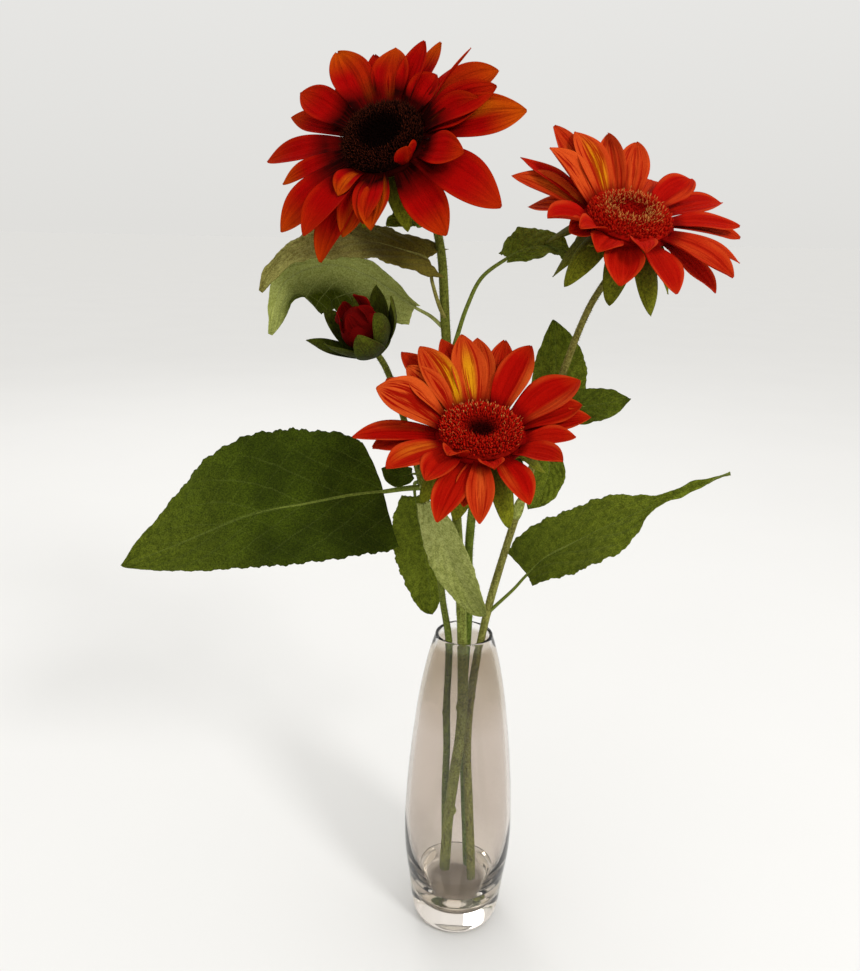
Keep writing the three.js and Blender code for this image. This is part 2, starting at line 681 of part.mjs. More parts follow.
addNode('vase', vaseGeometry(), GLASS);
const wetStems = Object.keys(STEM_ROUTES).map((name) => stemTube(name, GAP + 0.15));
addNode('water', waterGeometry(wetStems), WATER);

for (const name of Object.keys(STEM_ROUTES)) {
  addNode(`stem_${name}`, stemTube(name, 0), STEM_GREEN);
}

for (const [name, bloom] of Object.entries(BLOOMS)) {
  const head = headGroup(bloom);
  const calyx = calyxGeometry(bloom.seed, bloom.bractLength, bloom.bractLift);
  const petals = petalRing(bloom.outer, bloom.inner, bloom.seed + 7);
  addNode(`bloom_${name}_calyx`, calyx, CALYX_GREEN, head);
  addNode(`bloom_${name}_petals`, petals, finish(bloom.petalColour, 0.65), head);
  addNode(`bloom_${name}_disc`, discGeometry(), finish(bloom.discColour, 0.9), head);
}

const budHead = headGroup(BUD);
addNode('bud_sepals', budSepals(), CALYX_GREEN, budHead);
addNode('bud_petals', budPetals(), BUD_RED, budHead);

const stemRoom = Object.fromEntries(
  Object.keys(STEM_ROUTES).map((name) => [name, toSolid(stemTube(name, GAP))]),
);
for (const [name, leaf] of Object.entries(LEAVES)) {
  addNode(name, leafGeometry(leaf, [stemRoom[leaf.stem]]), LEAF_GREEN);
}

export default group;
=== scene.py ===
import math

import bpy
import numpy as np
from mathutils import Matrix


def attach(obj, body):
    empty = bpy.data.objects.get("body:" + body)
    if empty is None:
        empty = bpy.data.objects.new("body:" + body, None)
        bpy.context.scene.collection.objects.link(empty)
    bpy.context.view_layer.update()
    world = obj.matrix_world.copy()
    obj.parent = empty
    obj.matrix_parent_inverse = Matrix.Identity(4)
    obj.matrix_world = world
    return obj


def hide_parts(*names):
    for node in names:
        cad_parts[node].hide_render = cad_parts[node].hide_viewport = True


# Red and orange sunflowers with a bud and leafy stems in a tall glass bud vase. Shapes are worked
# out in millimetres, in the part's own frame, and go into Blender in metres.

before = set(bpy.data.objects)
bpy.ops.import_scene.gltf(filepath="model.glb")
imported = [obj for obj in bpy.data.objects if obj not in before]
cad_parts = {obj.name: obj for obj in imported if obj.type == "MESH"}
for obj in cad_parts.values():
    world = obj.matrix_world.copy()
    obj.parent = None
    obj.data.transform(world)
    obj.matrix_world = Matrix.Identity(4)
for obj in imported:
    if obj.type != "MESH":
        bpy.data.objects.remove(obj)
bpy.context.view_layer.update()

MM = 0.001
TURN = 2 * math.pi

# ---- driving dimensions ----

# As in the part.
VASE_HEIGHT = 254
VASE_BASE_RADIUS = 27.5
LIP_OUTER_RADIUS = 21.9
LIP_INNER_RADIUS = 19.3
CAVITY_FLOOR = 17
WATER_LEVEL = 37
LEAF_THICKNESS = 0.8
DISC_RADIUS = 25.8
COLLAR_RADIUS = 28.2
COLLAR_TOP = -0.4
COLLAR_BOTTOM = -4
PETAL_ROOT_RADIUS = 26.3
UPPER_ROW = -1.3
LOWER_ROW = -3.1
PETAL_WIDTH = 20.5
INNER_WIDTH = 0.8  # of the inner petals, as a share
CALYX_BOTTOM = -19
BUD_BOTTOM = -18
BRACTS = 10
BRACT_LENGTH = 38
BRACT_ROOT_RADIUS = 20

# Only here, for what is finer than in the part.
VASE_SEGMENTS = 128
WATER_OVERLAP = 0.25  # the water's side lies this far inside the glass, so no film of air shows
PETAL_THICKNESS = 0.7
FLORETS = 900
TOOTH = 4.2  # from one tooth of a leaf to the next
VEINS = 6.5  # side veins along a leaf, which lean to its tip
VEIN_LEAN = 0.42
RANDOM_SEED = 7


# ---- numbers ----

def draw(i, k):
    """A repeatable number from 0 to 1 for item i and purpose k."""
    value = math.sin(i * 12.9898 + k * 78.233) * 43758.5453
    return value - math.floor(value)


def draw_around(i, k):
    """The same from -1 to 1."""
    return 2 * draw(i, k) - 1


def unit(v):
    """A vector, or each of many, at length 1."""
    v = np.asarray(v, float)
    return v / np.linalg.norm(v, axis=-1, keepdims=True)


def smooth(value, low, high):
    """0 below low, 1 above high and an even slope between."""
    t = np.clip((value - low) / (high - low), 0, 1)
    return t * t * (3 - 2 * t)


def hump(value, centre, width):
    return np.exp(-((value - centre) / width) ** 2)


def polar(radius, angle, height):
    """The point or points at a radius, angle and height round the z axis."""
    return np.stack([radius * np.cos(angle), radius * np.sin(angle), height], -1)


class Route:
    """A smooth curve through points, a centripetal Catmull-Rom spline, read by its share of length."""

    def __init__(self, points, per_span=40):
        p = np.array(points, float)
        p = np.vstack([2 * p[0] - p[1], p, 2 * p[-1] - p[-2]])
        gaps = np.linalg.norm(np.diff(p, axis=0), axis=1, keepdims=True) ** 0.5
        ways = np.diff(p, axis=0) / gaps
        slopes = ways[:-1] - (p[2:] - p[:-2]) / (gaps[:-1] + gaps[1:]) + ways[1:]
        start, end = p[1:-2, None], p[2:-1, None]
        before, after = [(slope * gaps[1:-1])[:, None] for slope in (slopes[:-1], slopes[1:])]
        square = -3 * start + 3 * end - 2 * before - after
        cube = 2 * start - 2 * end + before + after
        share = (np.arange(1, per_span + 1) / per_span)[:, None]
        spans = start + before * share + square * share ** 2 + cube * share ** 3
        self.line = np.vstack([p[1], spans.reshape(-1, 3)])
        steps = np.linalg.norm(np.diff(self.line, axis=0), axis=1)
        self.lengths = np.concatenate([[0], np.cumsum(steps)])
        self.length = self.lengths[-1]
        self.directions = unit(np.gradient(self.line, self.lengths, axis=0))

    def read(self, table, t):
        at = np.asarray(t, float) * self.length
        return np.stack([np.interp(at, self.lengths, column) for column in table.T], -1)

    def at(self, t):
        return self.read(self.line, t)

    def along(self, t):
        return unit(self.read(self.directions, t))


# ---- meshes ----

class Piece:
    """Gathers closed shapes, in millimetres, into one mesh with named numbers on its points."""

    def __init__(self, *names):
        self.names = names
        self.points, self.values, self.faces = [], [], []
        self.total = 0

    def add(self, points, even=(), flat=(), **values):
        """even and flat list arrays of three or four corners a face, shaded smooth or flat."""
        points = np.asarray(points, float).reshape(-1, 3)
        for groups, shading in ((even, True), (flat, False)):
            self.faces += [(np.asarray(group) + self.total, shading) for group in groups]
        self.points.append(points)
        self.values.append([
            np.broadcast_to(np.ravel(values.get(name, 0)), len(points)) for name in self.names])
        self.total += len(points)

    def build(self, name, material, slot, *nodes):
        mesh = bpy.data.meshes.new(name)
        points = np.concatenate(self.points) * MM
        corners = np.concatenate([group.ravel() for group, _ in self.faces])
        sizes = np.concatenate([np.full(len(group), group.shape[1]) for group, _ in self.faces])
        shading = np.concatenate([np.full(len(group), even) for group, even in self.faces])
        starts = np.cumsum(sizes) - sizes
        mesh.vertices.add(len(points))
        mesh.vertices.foreach_set("co", points.astype(np.float32).ravel())
        mesh.loops.add(len(corners))
        mesh.loops.foreach_set("vertex_index", corners.astype(np.int32))
        mesh.polygons.add(len(sizes))
        mesh.polygons.foreach_set("loop_start", starts.astype(np.int32))
        mesh.polygons.foreach_set("use_smooth", shading)
        mesh.update(calc_edges=True)
        for k, number in enumerate(self.names):
            column = np.concatenate([values[k] for values in self.values])
            layer = mesh.attributes.new(number, "FLOAT", "POINT")
            layer.data.foreach_set("value", column.astype(np.float32))
        mesh.materials.append(material)
        piece = bpy.data.objects.new(name, mesh)
        bpy.context.scene.collection.objects.link(piece)
        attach(piece, "root")
        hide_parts(*nodes)


def placed(points, matrix):
    return points @ matrix[:3, :3].T + matrix[:3, 3]


def grid_of(stations, cells):
    """The shares along a blade from 0 to 1, then both shares of each point, across from -1 to 1."""
    t = np.linspace(0, 1, stations + 1)
    return t, *np.meshgrid(t, np.linspace(-1, 1, cells + 1), indexing="ij")


def sheet_faces(stations, cells):
    """Faces of a thin closed blade: both sheets, then the rim that joins them."""
    index = np.arange((stations + 1) * (cells + 1)).reshape(stations + 1, cells + 1)
    corners = [index[:-1, :-1], index[:-1, 1:], index[1:, 1:], index[1:, :-1]]
    upper = np.stack(corners, -1).reshape(-1, 4)
    lower = upper[:, ::-1] + index.size
    edge = np.concatenate([index[0, :-1], index[:-1, -1], index[-1, :0:-1], index[:0:-1, 0]])
    after = np.roll(edge, -1)
    rim = np.stack([edge, edge + index.size, after + index.size, after], -1)
    return [upper, lower], [rim]


def add_blade(piece, middle, up, thickness, matrix=np.eye(4), **values):
    """A blade round its middle surface, with the numbers of each point and under set to 1 below."""
    half = up[:, None] * (thickness / 2)[..., None]
    points = placed(np.stack([middle + half, middle - half]), matrix)
    shape = points.shape[:-1]
    values["under"] = np.array([0, 1])[:, None, None]
    spread = {name: np.broadcast_to(value, shape) for name, value in values.items()}
    piece.add(points, *sheet_faces(shape[1] - 1, shape[2] - 1), **spread)


def ring_faces(rings, sides):
    """Faces between rings of points, with the rings in order along the piece."""
    a = np.arange(rings * sides).reshape(rings, sides)
    b = np.roll(a, -1, axis=1)
    return np.stack([a[:-1], b[:-1], b[1:], a[1:]], -1).reshape(-1, 4)


def fan(ring, hub, outward):
    after = np.roll(ring, -1)
    hubs = np.full(len(ring), hub)
    return np.stack([hubs, ring, after] if outward else [hubs, after, ring], -1)


def turns(sides):
    return np.linspace(0, TURN, sides, endpoint=False)


def add_rings(piece, rings, ends, matrix=np.eye(4), **values):
    """A closed shape of rings of points in order, with one more point in the middle of each end."""
    count, sides = rings.shape[:2]
    index = np.arange(count * sides).reshape(count, sides)
    caps = [fan(index[0], index.size, False), fan(index[-1], index.size + 1, True)]
    points = placed(np.vstack([rings.reshape(-1, 3), ends]), matrix)
    piece.add(points, [ring_faces(count, sides), *caps], **values)


def add_tube(piece, route, steps, sides, radius_at, **values):
    """A closed round tube. radius_at(t, angle) may vary both along it and round it."""
    t = np.linspace(0, 1, steps + 1)
    centres, ways = route.at(t), route.along(t)
    normals = [unit(np.cross(ways[0], [0.3, 1, 0.2]))]
    for way in ways[1:]:
        normals.append(unit(normals[-1] - way * (normals[-1] @ way)))
    normals = np.array(normals)
    sideways = np.cross(ways, normals)
    T, A = np.meshgrid(t, turns(sides), indexing="ij")
    around = normals[:, None] * np.cos(A)[..., None] + sideways[:, None] * np.sin(A)[..., None]
    rings = centres[:, None] + around * radius_at(T, A)[..., None]
    numbers = {"along": np.concatenate([T.ravel(), [0, 1]]), **values}
    add_rings(piece, rings, centres[[0, -1]], **numbers)


def add_lathe(piece, profile, sides, matrix=np.eye(4), **values):
    """A closed turned shape. profile runs from axis to axis as radius and height, counter-clockwise."""
    profile = np.array(profile, float)
    radius, height = profile[1:-1, :1], profile[1:-1, 1:]
    angle = turns(sides)
    rings = polar(radius, angle, height + 0 * angle)
    ends = [[0, 0, profile[0, 1]], [0, 0, profile[-1, 1]]]
    add_rings(piece, rings, ends, matrix, **values)


def rounded(profile, steps):
    """A smooth curve through the points of a profile."""
    route = Route([[r, 0, z] for r, z in profile])
    return route.at(np.linspace(0, 1, steps))[:, [0, 2]]


# ---- materials ----

LOOK = ("warm", "band", "side", "gold")
HAIRY = dict(Sheen_Roughness=0.6, Specular_IOR_Level=0.04)
BLACK, WHITE = (0, 0, 0), (255, 255, 255)


def shader_colour(screen_colour):
    """The linear colour that shaders use, from one as on a screen, with three values up to 255."""
    shares = [value / 255 for value in screen_colour]
    return [s / 12.92 if s <= 0.04045 else ((s + 0.055) / 1.055) ** 2.4 for s in shares] + [1]


class Finish:
    """A material round one Principled shader, with short ways to make its nodes. Its colour is built up
    in base, coat over coat."""

    def __init__(self, name, **sockets):
        self.material = bpy.data.materials.new(name)
        self.material.use_nodes = True
        self.tree = self.material.node_tree
        self.shader = self.tree.nodes["Principled BSDF"]
        self.place = self.node("ShaderNodeTexCoord").outputs["Object"]
        for socket, value in sockets.items():
            self.put(self.shader.inputs[socket.replace("_", " ")], value)

    def put(self, socket, value):
        if isinstance(value, bpy.types.NodeSocket):
            self.tree.links.new(value, socket)
        else:
            socket.default_value = shader_colour(value) if socket.type == "RGBA" else value

    def node(self, kind, inputs=(), **settings):
        made = self.tree.nodes.new(kind)
        for name, value in settings.items():
            setattr(made, name, value)
        for name, value in dict(inputs).items():
            self.put(made.inputs[name], value)
        return made

    def numbers(self, *names):
        return [self.node("ShaderNodeAttribute", attribute_name=name).outputs["Fac"] for name in names]

    def math(self, operation, a, b=0.0):
        return self.node("ShaderNodeMath", {0: a, 1: b}, operation=operation).outputs[0]

    def times(self, a, b):
        return self.math("MULTIPLY", a, b)

    def plus(self, a, b):
        return self.math("ADD", a, b)

    def less(self, a, b):
        return self.math("SUBTRACT", a, b)

    def vector(self, x, y, z):
        return self.node("ShaderNodeCombineXYZ", {0: x, 1: y, 2: z}).outputs[0]

    def stretched(self, share):
        """The place with its height shortened, for a noise that is drawn out upwards."""
        return self.node("ShaderNodeMapping", {"Vector": self.place, "Scale": (1, 1, share)}).outputs[0]

    def noise(self, vector, scale, detail=2.0, roughness=0.5):
        inputs = {"Vector": vector, "Scale": scale, "Detail": detail, "Roughness": roughness}
        return self.node("ShaderNodeTexNoise", inputs).outputs["Fac"]

    def step(self, value, low, high, most=1):
        """0 where value is at low and most where it is at high, smoothly."""
        inputs = {"Value": value, "From Min": low, "From Max": high}
        made = self.node("ShaderNodeMapRange", inputs, interpolation_type="SMOOTHSTEP").outputs["Result"]
        return made if most == 1 else self.times(made, most)

    def mix(self, share, a, b, blend="MIX"):
        made = self.node("ShaderNodeMix", data_type="RGBA", blend_type=blend, clamp_factor=True)
        self.put(made.inputs[0], share)
        self.put(made.inputs[6], a)
        self.put(made.inputs[7], b)
        return made.outputs[2]

    def over(self, share, shade, blend="MIX"):
        self.base = self.mix(share, self.base, shade, blend)

    def grain(self, value, share):
        self.over(share, self.mix(value, BLACK, WHITE), "SOFT_LIGHT")

    def ramp(self, value, stops):
        made = self.node("ShaderNodeValToRGB", {"Fac": value})
        elements = made.color_ramp.elements
        while len(elements) < len(stops):
            elements.new(0.5)
        for element, (position, shade) in zip(elements, stops):
            element.position = position
            element.color = shader_colour(shade)
        return made.outputs["Color"]

    def bump(self, height, strength, distance):
        inputs = {"Height": height, "Strength": strength, "Distance": distance}
        self.put(self.shader.inputs["Normal"], self.node("ShaderNodeBump", inputs).outputs[0])

    def paint(self):
        self.put(self.shader.inputs["Base Color"], self.base)
        return self.material


# ---- finishes ----

def petal_finish(name, root, middle, tip, line, pale, gold, strength, depth, onset, pale_rim_and_highlight_share):
    """Cloth-like petals, dark at the root as far as depth, partly their own colour and partly painted
    shade, and streaked lengthwise. warm on the mesh turns a petal pale from onset on, and band adds a pale
    or golden band at side of its middle line, partly their own colour and partly a painted highlight.
    Their pale rims are partly a painted highlight too."""
    f = Finish(name, Roughness=0.7, Specular_IOR_Level=0.02)
    along, across, seed, under = f.numbers("along", "across", "seed", "under")
    warm, band, side, golden = f.numbers(*LOOK)
    reach = f.math("ABSOLUTE", across)
    # The dark root is partly the petals' own colour and partly painted shade near the disc.
    f.base = f.ramp(along, [(0, root), (0.45 * depth, root), (depth, middle), (0.75, middle), (1, tip)])
    f.over(f.times(warm, f.step(along, *onset)), pale)
    # A pale rim, partly the petals' own colour and partly a painted highlight along the edges.
    rim = f.times(f.step(reach, 0.7, 0.92), f.step(along, 0.3, 0.6))
    f.over(f.times(rim, pale_rim_and_highlight_share), pale)
    # The band keeps to one side of the petal and fades at both ends. It is partly a golden or pale band of
    # the petal's own colour and partly a painted highlight along an edge.
    away = f.math("ABSOLUTE", f.less(across, side))
    band = f.times(f.step(away, 0.5, 0.12), band)
    band = f.times(band, f.times(f.step(along, 0.06, 0.25), f.step(along, 0.96, 0.5)))
    f.over(band, f.mix(golden, pale, gold))
    # Fine darker lines bend with the petal's outline, because they keep to one share of its width.
    streak = f.noise(f.vector(f.times(across, 5.4), along, f.times(seed, 37)), 1, 3, 0.6)
    lines = f.times(f.step(streak, 0.47, 0.56), f.step(along, 1, 0.82))
    lines = f.times(lines, f.step(reach, 0.86, 0.7))
    share = f.times(f.plus(f.times(warm, 0.5), 0.5), strength)
    f.over(f.times(lines, share), line)
    f.over(f.step(f.noise(f.place, 45), 0.45, 0.75, 0.3), middle)
    fine = f.noise(f.place, 1100, 3, 0.8)
    f.grain(fine, 0.55)
    f.over(f.times(under, 0.4), middle)
    f.bump(f.less(f.times(fine, 0.3), streak), 0.8, 0.0016)
    return f.paint()


def leaf_finish(name, top, dark, vein, below, pale):
    """Felt-like leaf: mottled above, paler below, with faint veins that lean to the tip. light on the mesh
    is painted light above where it is more than nothing, and painted shade below where it is less."""
    f = Finish(name, Roughness=0.8, Sheen_Weight=0.01, **HAIRY)
    along, across, under, light = f.numbers("along", "across", "under", "light")
    reach = f.math("ABSOLUTE", across)
    coarse = f.noise(f.place, 30, 3, 0.6)
    mottle = f.noise(f.place, 240, 5, 0.75)
    felt = f.noise(f.place, 1000, 3, 0.85)
    f.base = f.mix(f.step(coarse, 0.35, 0.68), dark, top)
    # Painted light: where light is more than nothing, the upper side turns paler.
    f.over(light, f.mix(f.times(coarse, 0.5), pale, top))
    f.over(f.step(mottle, 0.42, 0.62, 0.5), dark)
    f.over(under, f.mix(f.step(mottle, 0.35, 0.7, 0.4), below, top))
    # Painted shade: where light is less than nothing, the under side turns darker.
    f.over(f.times(under, f.times(light, -0.8)), dark, "MULTIPLY")
    phase = f.times(f.less(along, f.times(reach, VEIN_LEAN)), VEINS)
    near = f.math("PINGPONG", f.plus(phase, f.times(f.noise(f.place, 70), 0.22)), 0.5)
    side = f.times(f.step(near, 0.06, 0), f.step(reach, 1, 0.55))
    ladder = f.math("PINGPONG", f.plus(f.times(reach, 7), f.times(phase, 1.5)), 0.5)
    ladder = f.step(ladder, 0.06, 0, 0.25)
    veins = f.math("MAXIMUM", f.math("MAXIMUM", f.times(side, 0.45), ladder), f.step(reach, 0.04, 0))
    f.over(f.times(veins, f.plus(f.times(under, 0.4), 0.3)), vein)
    f.grain(f.step(felt, 0.3, 0.7), 0.55)
    height = f.plus(f.times(felt, 0.5), f.times(mottle, 0.8))
    f.bump(f.less(height, f.times(veins, 0.6)), 0.6, 0.0012)
    return f.paint()


def stem_finish(name, low, high, speck):
    """Hairy stem: two greens along its length, lengthwise ribs and brownish specks."""
    f = Finish(name, Roughness=0.85, Sheen_Weight=0.02, **HAIRY)
    along, = f.numbers("along")
    ribs = f.noise(f.stretched(0.16), 420, 3, 0.6)
    fine = f.noise(f.place, 700, 4, 0.85)
    f.base = f.mix(f.step(along, 0.05, 0.75), low, high)
    f.over(f.step(f.noise(f.place, 110, 4, 0.7), 0.5, 0.72, 0.6), speck)
    f.over(f.step(ribs, 0.5, 0.68, 0.55), speck)
    f.bump(f.plus(ribs, f.times(fine, 0.4)), 0.6, 0.0012)
    f.grain(f.step(fine, 0.3, 0.7), 0.8)
    return f.paint()


def bract_finish(name, root, tip, vein):
    """Green bracts, paler to the tip, ribbed lengthwise and mottled."""
    f = Finish(name, Roughness=0.75, Sheen_Weight=0.01, **HAIRY)
    along, across, seed = f.numbers("along", "across", "seed")
    f.base = f.mix(f.step(along, 0.1, 0.9), root, tip)
    f.over(f.step(f.noise(f.vector(seed, 3, 1), 9, 0), 0.4, 0.6, 0.5), root)
    ribs = f.noise(f.vector(f.times(across, 6), along, f.times(seed, 23)), 1.3, 2, 0.6)
    f.over(f.step(ribs, 0.5, 0.68, 0.45), vein)
    f.over(f.step(f.noise(f.place, 190, 4, 0.7), 0.5, 0.64, 0.4), vein)
    fine = f.noise(f.place, 700, 4, 0.85)
    f.bump(f.plus(ribs, f.times(fine, 0.5)), 0.5, 0.001)
    f.grain(f.step(fine, 0.3, 0.7), 0.6)
    return f.paint()


def disc_finish(name, centre, outer, tip, spread, depth):
    """Florets and bristles: one colour in the middle of the disc, another outside, both with painted shade
    down between the florets, and bright tips."""
    f = Finish(name, Roughness=0.9, Specular_IOR_Level=0.02)
    share, rise, seed, bright = f.numbers("share", "rise", "seed", "bright")
    f.base = f.mix(f.step(share, *spread), centre, outer)
    # Painted shade: low down on each floret and bristle the colour turns to the darker middle colour, as
    # far as depth.
    f.over(f.times(f.less(1, rise), depth), centre)
    f.over(f.times(bright, f.step(rise, 0.45, 0.9)), tip)
    f.bump(f.noise(f.place, 1600), 0.4, 0.0008)
    f.grain(seed, 0.3)
    return f.paint()


VASE_PER_METRE = 3.9


def glass_finish():
    f = Finish("clear_glass", Roughness=0, IOR=1.38, Transmission_Weight=1)
    # The glass is tinted darker in the narrow neck and the foot, as painted shade, and paler low down
    # round the cavity floor and at the lip, as painted light, and has faint tool marks.
    height = f.node("ShaderNodeSeparateXYZ", {0: f.place}).outputs["Z"]
    usual, neck = (227, 219, 212), (206, 196, 182)
    f.base = f.ramp(f.times(height, VASE_PER_METRE), [
        (0.05, (234, 223, 212)), (0.09, (253, 247, 241)), (0.28, usual), (0.7, usual), (0.82, neck),
        (0.955, neck), (0.972, (253, 252, 250))])
    f.bump(f.noise(f.stretched(0.25), 26, 1), 0.03, 0.001)
    return f.paint()


def water_finish():
    f = Finish("water", Roughness=0, IOR=1.25, Transmission_Weight=1)
    f.bump(f.noise(f.place, 90, 1), 0.02, 0.0008)
    f.base = f.mix(f.noise(f.place, 20, 1), (250, 250, 247), (244, 246, 241))
    return f.paint()


# ---- vase and water ----

VASE_OUTSIDE = [
    (31.6, 1.3), (34, 4.2), (35.9, 11), (39.3, 38), (42.3, 62), (43.2, 86), (42.4, 110),
    (40.2, 142), (36.9, 174), (32.8, 205), (27.6, 232), (24.2, 245),
]
VASE_INSIDE = [
    (20.9, 245), (24.3, 232), (29.6, 205), (33.8, 174), (37.1, 142), (39.3, 110), (40.1, 86),
    (38.2, 62), (34.4, 46), (31.8, WATER_LEVEL), (28.9, 26), (25.3, 19.5), (21, CAVITY_FLOOR + 0.4),
]


def cavity_wall(steps):
    return rounded([(LIP_INNER_RADIUS, VASE_HEIGHT - 1.6), *VASE_INSIDE, (12, CAVITY_FLOOR)], steps)


def vase_profile():
    foot = [(0, 0.3), (18, 0.25), (24, 0), (VASE_BASE_RADIUS, 0)]
    low, high = (VASE_BASE_RADIUS + 1.4, 0.25), (LIP_OUTER_RADIUS, VASE_HEIGHT - 1.4)
    wall = rounded([low, *VASE_OUTSIDE, high], 90)
    # The lip is a half round between the two walls.
    middle = (LIP_OUTER_RADIUS + LIP_INNER_RADIUS) / 2
    half = (LIP_OUTER_RADIUS - LIP_INNER_RADIUS) / 2
    lip = [(middle + half * math.cos(a), VASE_HEIGHT - half + half * math.sin(a))
           for a in np.linspace(0.15, math.pi - 0.15, 9)]
    return [*foot, *wall, *lip, *cavity_wall(90), (5, CAVITY_FLOOR), (0, CAVITY_FLOOR)]


def water_profile():
    """The cavity's own wall up to the water's level, a little inside the glass, then the surface
    with its edge drawn up the wall."""
    side = [(r + WATER_OVERLAP, z - WATER_OVERLAP * 0.5)
            for r, z in cavity_wall(240)[::-1] if z < WATER_LEVEL + 0.9]
    edge = side[-1][0]
    surface = [(edge - 0.9, WATER_LEVEL + 0.35), (edge - 2.2, WATER_LEVEL + 0.08), (edge - 5, WATER_LEVEL)]
    floor = CAVITY_FLOOR - WATER_OVERLAP
    return [(0, floor), (5, floor), *side, *surface, (8, WATER_LEVEL), (0, WATER_LEVEL)]


def make_vase():
    glass = Piece()
    add_lathe(glass, vase_profile(), VASE_SEGMENTS)
    glass.build("vase_glass", glass_finish(), "clear_glass", "vase")
    water = Piece()
    add_lathe(water, water_profile(), VASE_SEGMENTS)
    water.build("vase_water", water_finish(), "water", "water")


# ---- petals ----

def bloom_matrix(centre, axis):
    """A bloom's own frame: w along its axis, u level and to the right, v up the tilted face."""
    w = unit(axis)
    u = unit(np.cross([0, 0, 1], w))
    matrix = np.eye(4)
    matrix[:3, :4] = np.stack([u, np.cross(w, u), w, np.array(centre, float)], -1)
    return matrix


def spine(shape, t):
    """The middle line of a petal and, at each point, the ways to its side and up from it."""
    outward = math.radians(shape["angle"])
    slope = np.radians(shape["lift"] + shape["curl"] * t)
    heading = outward + np.radians(shape["swing"] * t)
    turn = np.radians(shape["twist"] * t)[:, None]
    along = polar(np.cos(slope), heading, np.sin(slope))
    steps = (along[1:] + along[:-1]) / 2 * (shape["length"] * np.diff(t))[:, None]
    start = polar(shape["root"], outward, shape["height"])
    line = start + np.vstack([np.zeros(3), np.cumsum(steps, axis=0)])
    side = np.stack([np.sin(heading), -np.cos(heading), np.zeros_like(t)], -1)
    up = np.cross(side, along)
    return line, side * np.cos(turn) + up * np.sin(turn), up * np.cos(turn) - side * np.sin(turn)


def petal_outline(t):
    return np.sin(math.pi * (0.15 + 0.84 * t ** 1.35)) ** 0.85


def sepal_outline(t):
    return (1 - t) ** 0.75 * (1 + 1.3 * t) * 0.9 + 0.03


def petal_relief(t, x, seed):
    """Embossed ribs that follow the outline, a channel up the middle and an uneven edge."""
    inside = np.sin(math.pi * np.clip(t, 0, 1)) ** 0.7 * (1 - x ** 4)
    ribs = 0.32 * np.cos(TURN * (2.1 * x + 0.3 * seed)) * inside
    channel = -0.55 * hump(x, 0.12 * math.sin(9 * seed), 0.2) * inside
    ripple = (0.5 + seed) * x * np.abs(x) * np.sin(TURN * (1.3 * t + seed + 0.2 * x)) * t
    return ribs + channel + ripple


def bract_relief(t, x, seed):
    ribs = 0.16 * np.cos(TURN * 1.5 * x) * (1 - x ** 4)
    return ribs - 0.4 * hump(x, 0, 0.16) + 0.8 * x * np.sin(TURN * (1.1 * t + seed)) * t


PETAL_FORM = (petal_outline, petal_relief)
BRACT_FORM = (sepal_outline, bract_relief)
# Cells along and across each blade.
PETAL_GRID = (30, 26)
BRACT_GRID = (24, 14)
SHORT_BRACT_GRID = (14, 8)
BUD_PETAL_GRID = (22, 14)


def add_petal(piece, shape, form, grid, matrix, seed, **values):
    outline, relief = form
    t, T, X = grid_of(*grid)
    line, side, up = spine(shape, t)
    reach = (shape["width"] / 2 * outline(t))[:, None]
    rise = shape["cup"] * X ** 2 * reach + relief(T, X, seed)
    middle = line[:, None] + side[:, None] * (X * reach)[..., None] + up[:, None] * rise[..., None]
    thickness = PETAL_THICKNESS * (1 - 0.5 * np.abs(X) ** 3) * (1 - 0.4 * T ** 4)
    add_blade(piece, middle, up, thickness, matrix, along=T, across=X, seed=seed, **values)


# Petals as [angle, length, lift, curl], in degrees and millimetres, round the disc from the right. A
# fifth value is the share of the usual width and a sixth the twist.
LEFT_PETALS = [
    [12, 63, 10, -20, 1.3, -45], [22, 50, 26, -24, 1.1, -30], [44, 58, 10, -26, 1.2, -25],
    [45, 49, 30, -10, 0.8, 60], [58, 26, 34, -34], [72, 50, 14, -14, 0.8, 20], [77, 42, 24, -10, 0.9],
    [95, 38, 26, -16, 1.2], [107, 38, 24, -16, 0.8], [124, 48, 26, -20, 1.2],
    [132, 42, 2, -16], [153, 47, 18, -20, 1.1, 20], [162, 50, 8, -20, 0.8, 10], [184, 60, 2, -22],
    [205, 44, 2, -16, 0.7], [226, 59, 2, -22, 1.2], [245, 53, 12, -26, 1.15],
    [250, 59, -4, -24, 1.15], [261, 42, 0, -20], [279, 42, 14, -24], [310, 49, -10, -30, 1.2],
    [338, 61, -10, -30, 1.5],
]
LEFT_INNER_PETALS = [
    [249, 24, 50, -80], [274, 39, 34, -56, 1.1], [320, 21, 66, 0], [344, 33, 34, -44, 1.3, -20],
    [19, 40, 30, -30, 1.3, -30],
]
RIGHT_PETALS = [
    [-3, 45, 10, -18, 0.8, -10], [24, 54, 8, -20], [36, 38, 22, -18], [59, 36, 10, -20, 0.9],
    [74, 43, 34, -16, 1.05], [91, 48, 34, -18, 0.75, 50], [111, 47, 42, -18, 1.1], [119, 58, 34, -14],
    [137, 43, 44, -18, 1.15], [143, 54, 24, -16, 0.8], [152, 52, 18, -16, 1.15],
    [157, 37, 10, -36, 0.9], [190, 32, 34, -40, 1.1], [202, 19, 32, -46, 0.9], [232, 24, 36, -56],
    [250, 34, 10, -40, 1.1], [283, 38, 6, -34, 1.05], [313, 44, -8, -22], [312, 47, 8, -26],
    [335, 46, 4, -22, 0.65], [357, 49, 2, -18, 0.9],
]
RIGHT_INNER_PETALS = [[214, 26, 58, -62], [264, 27, 58, -72]]
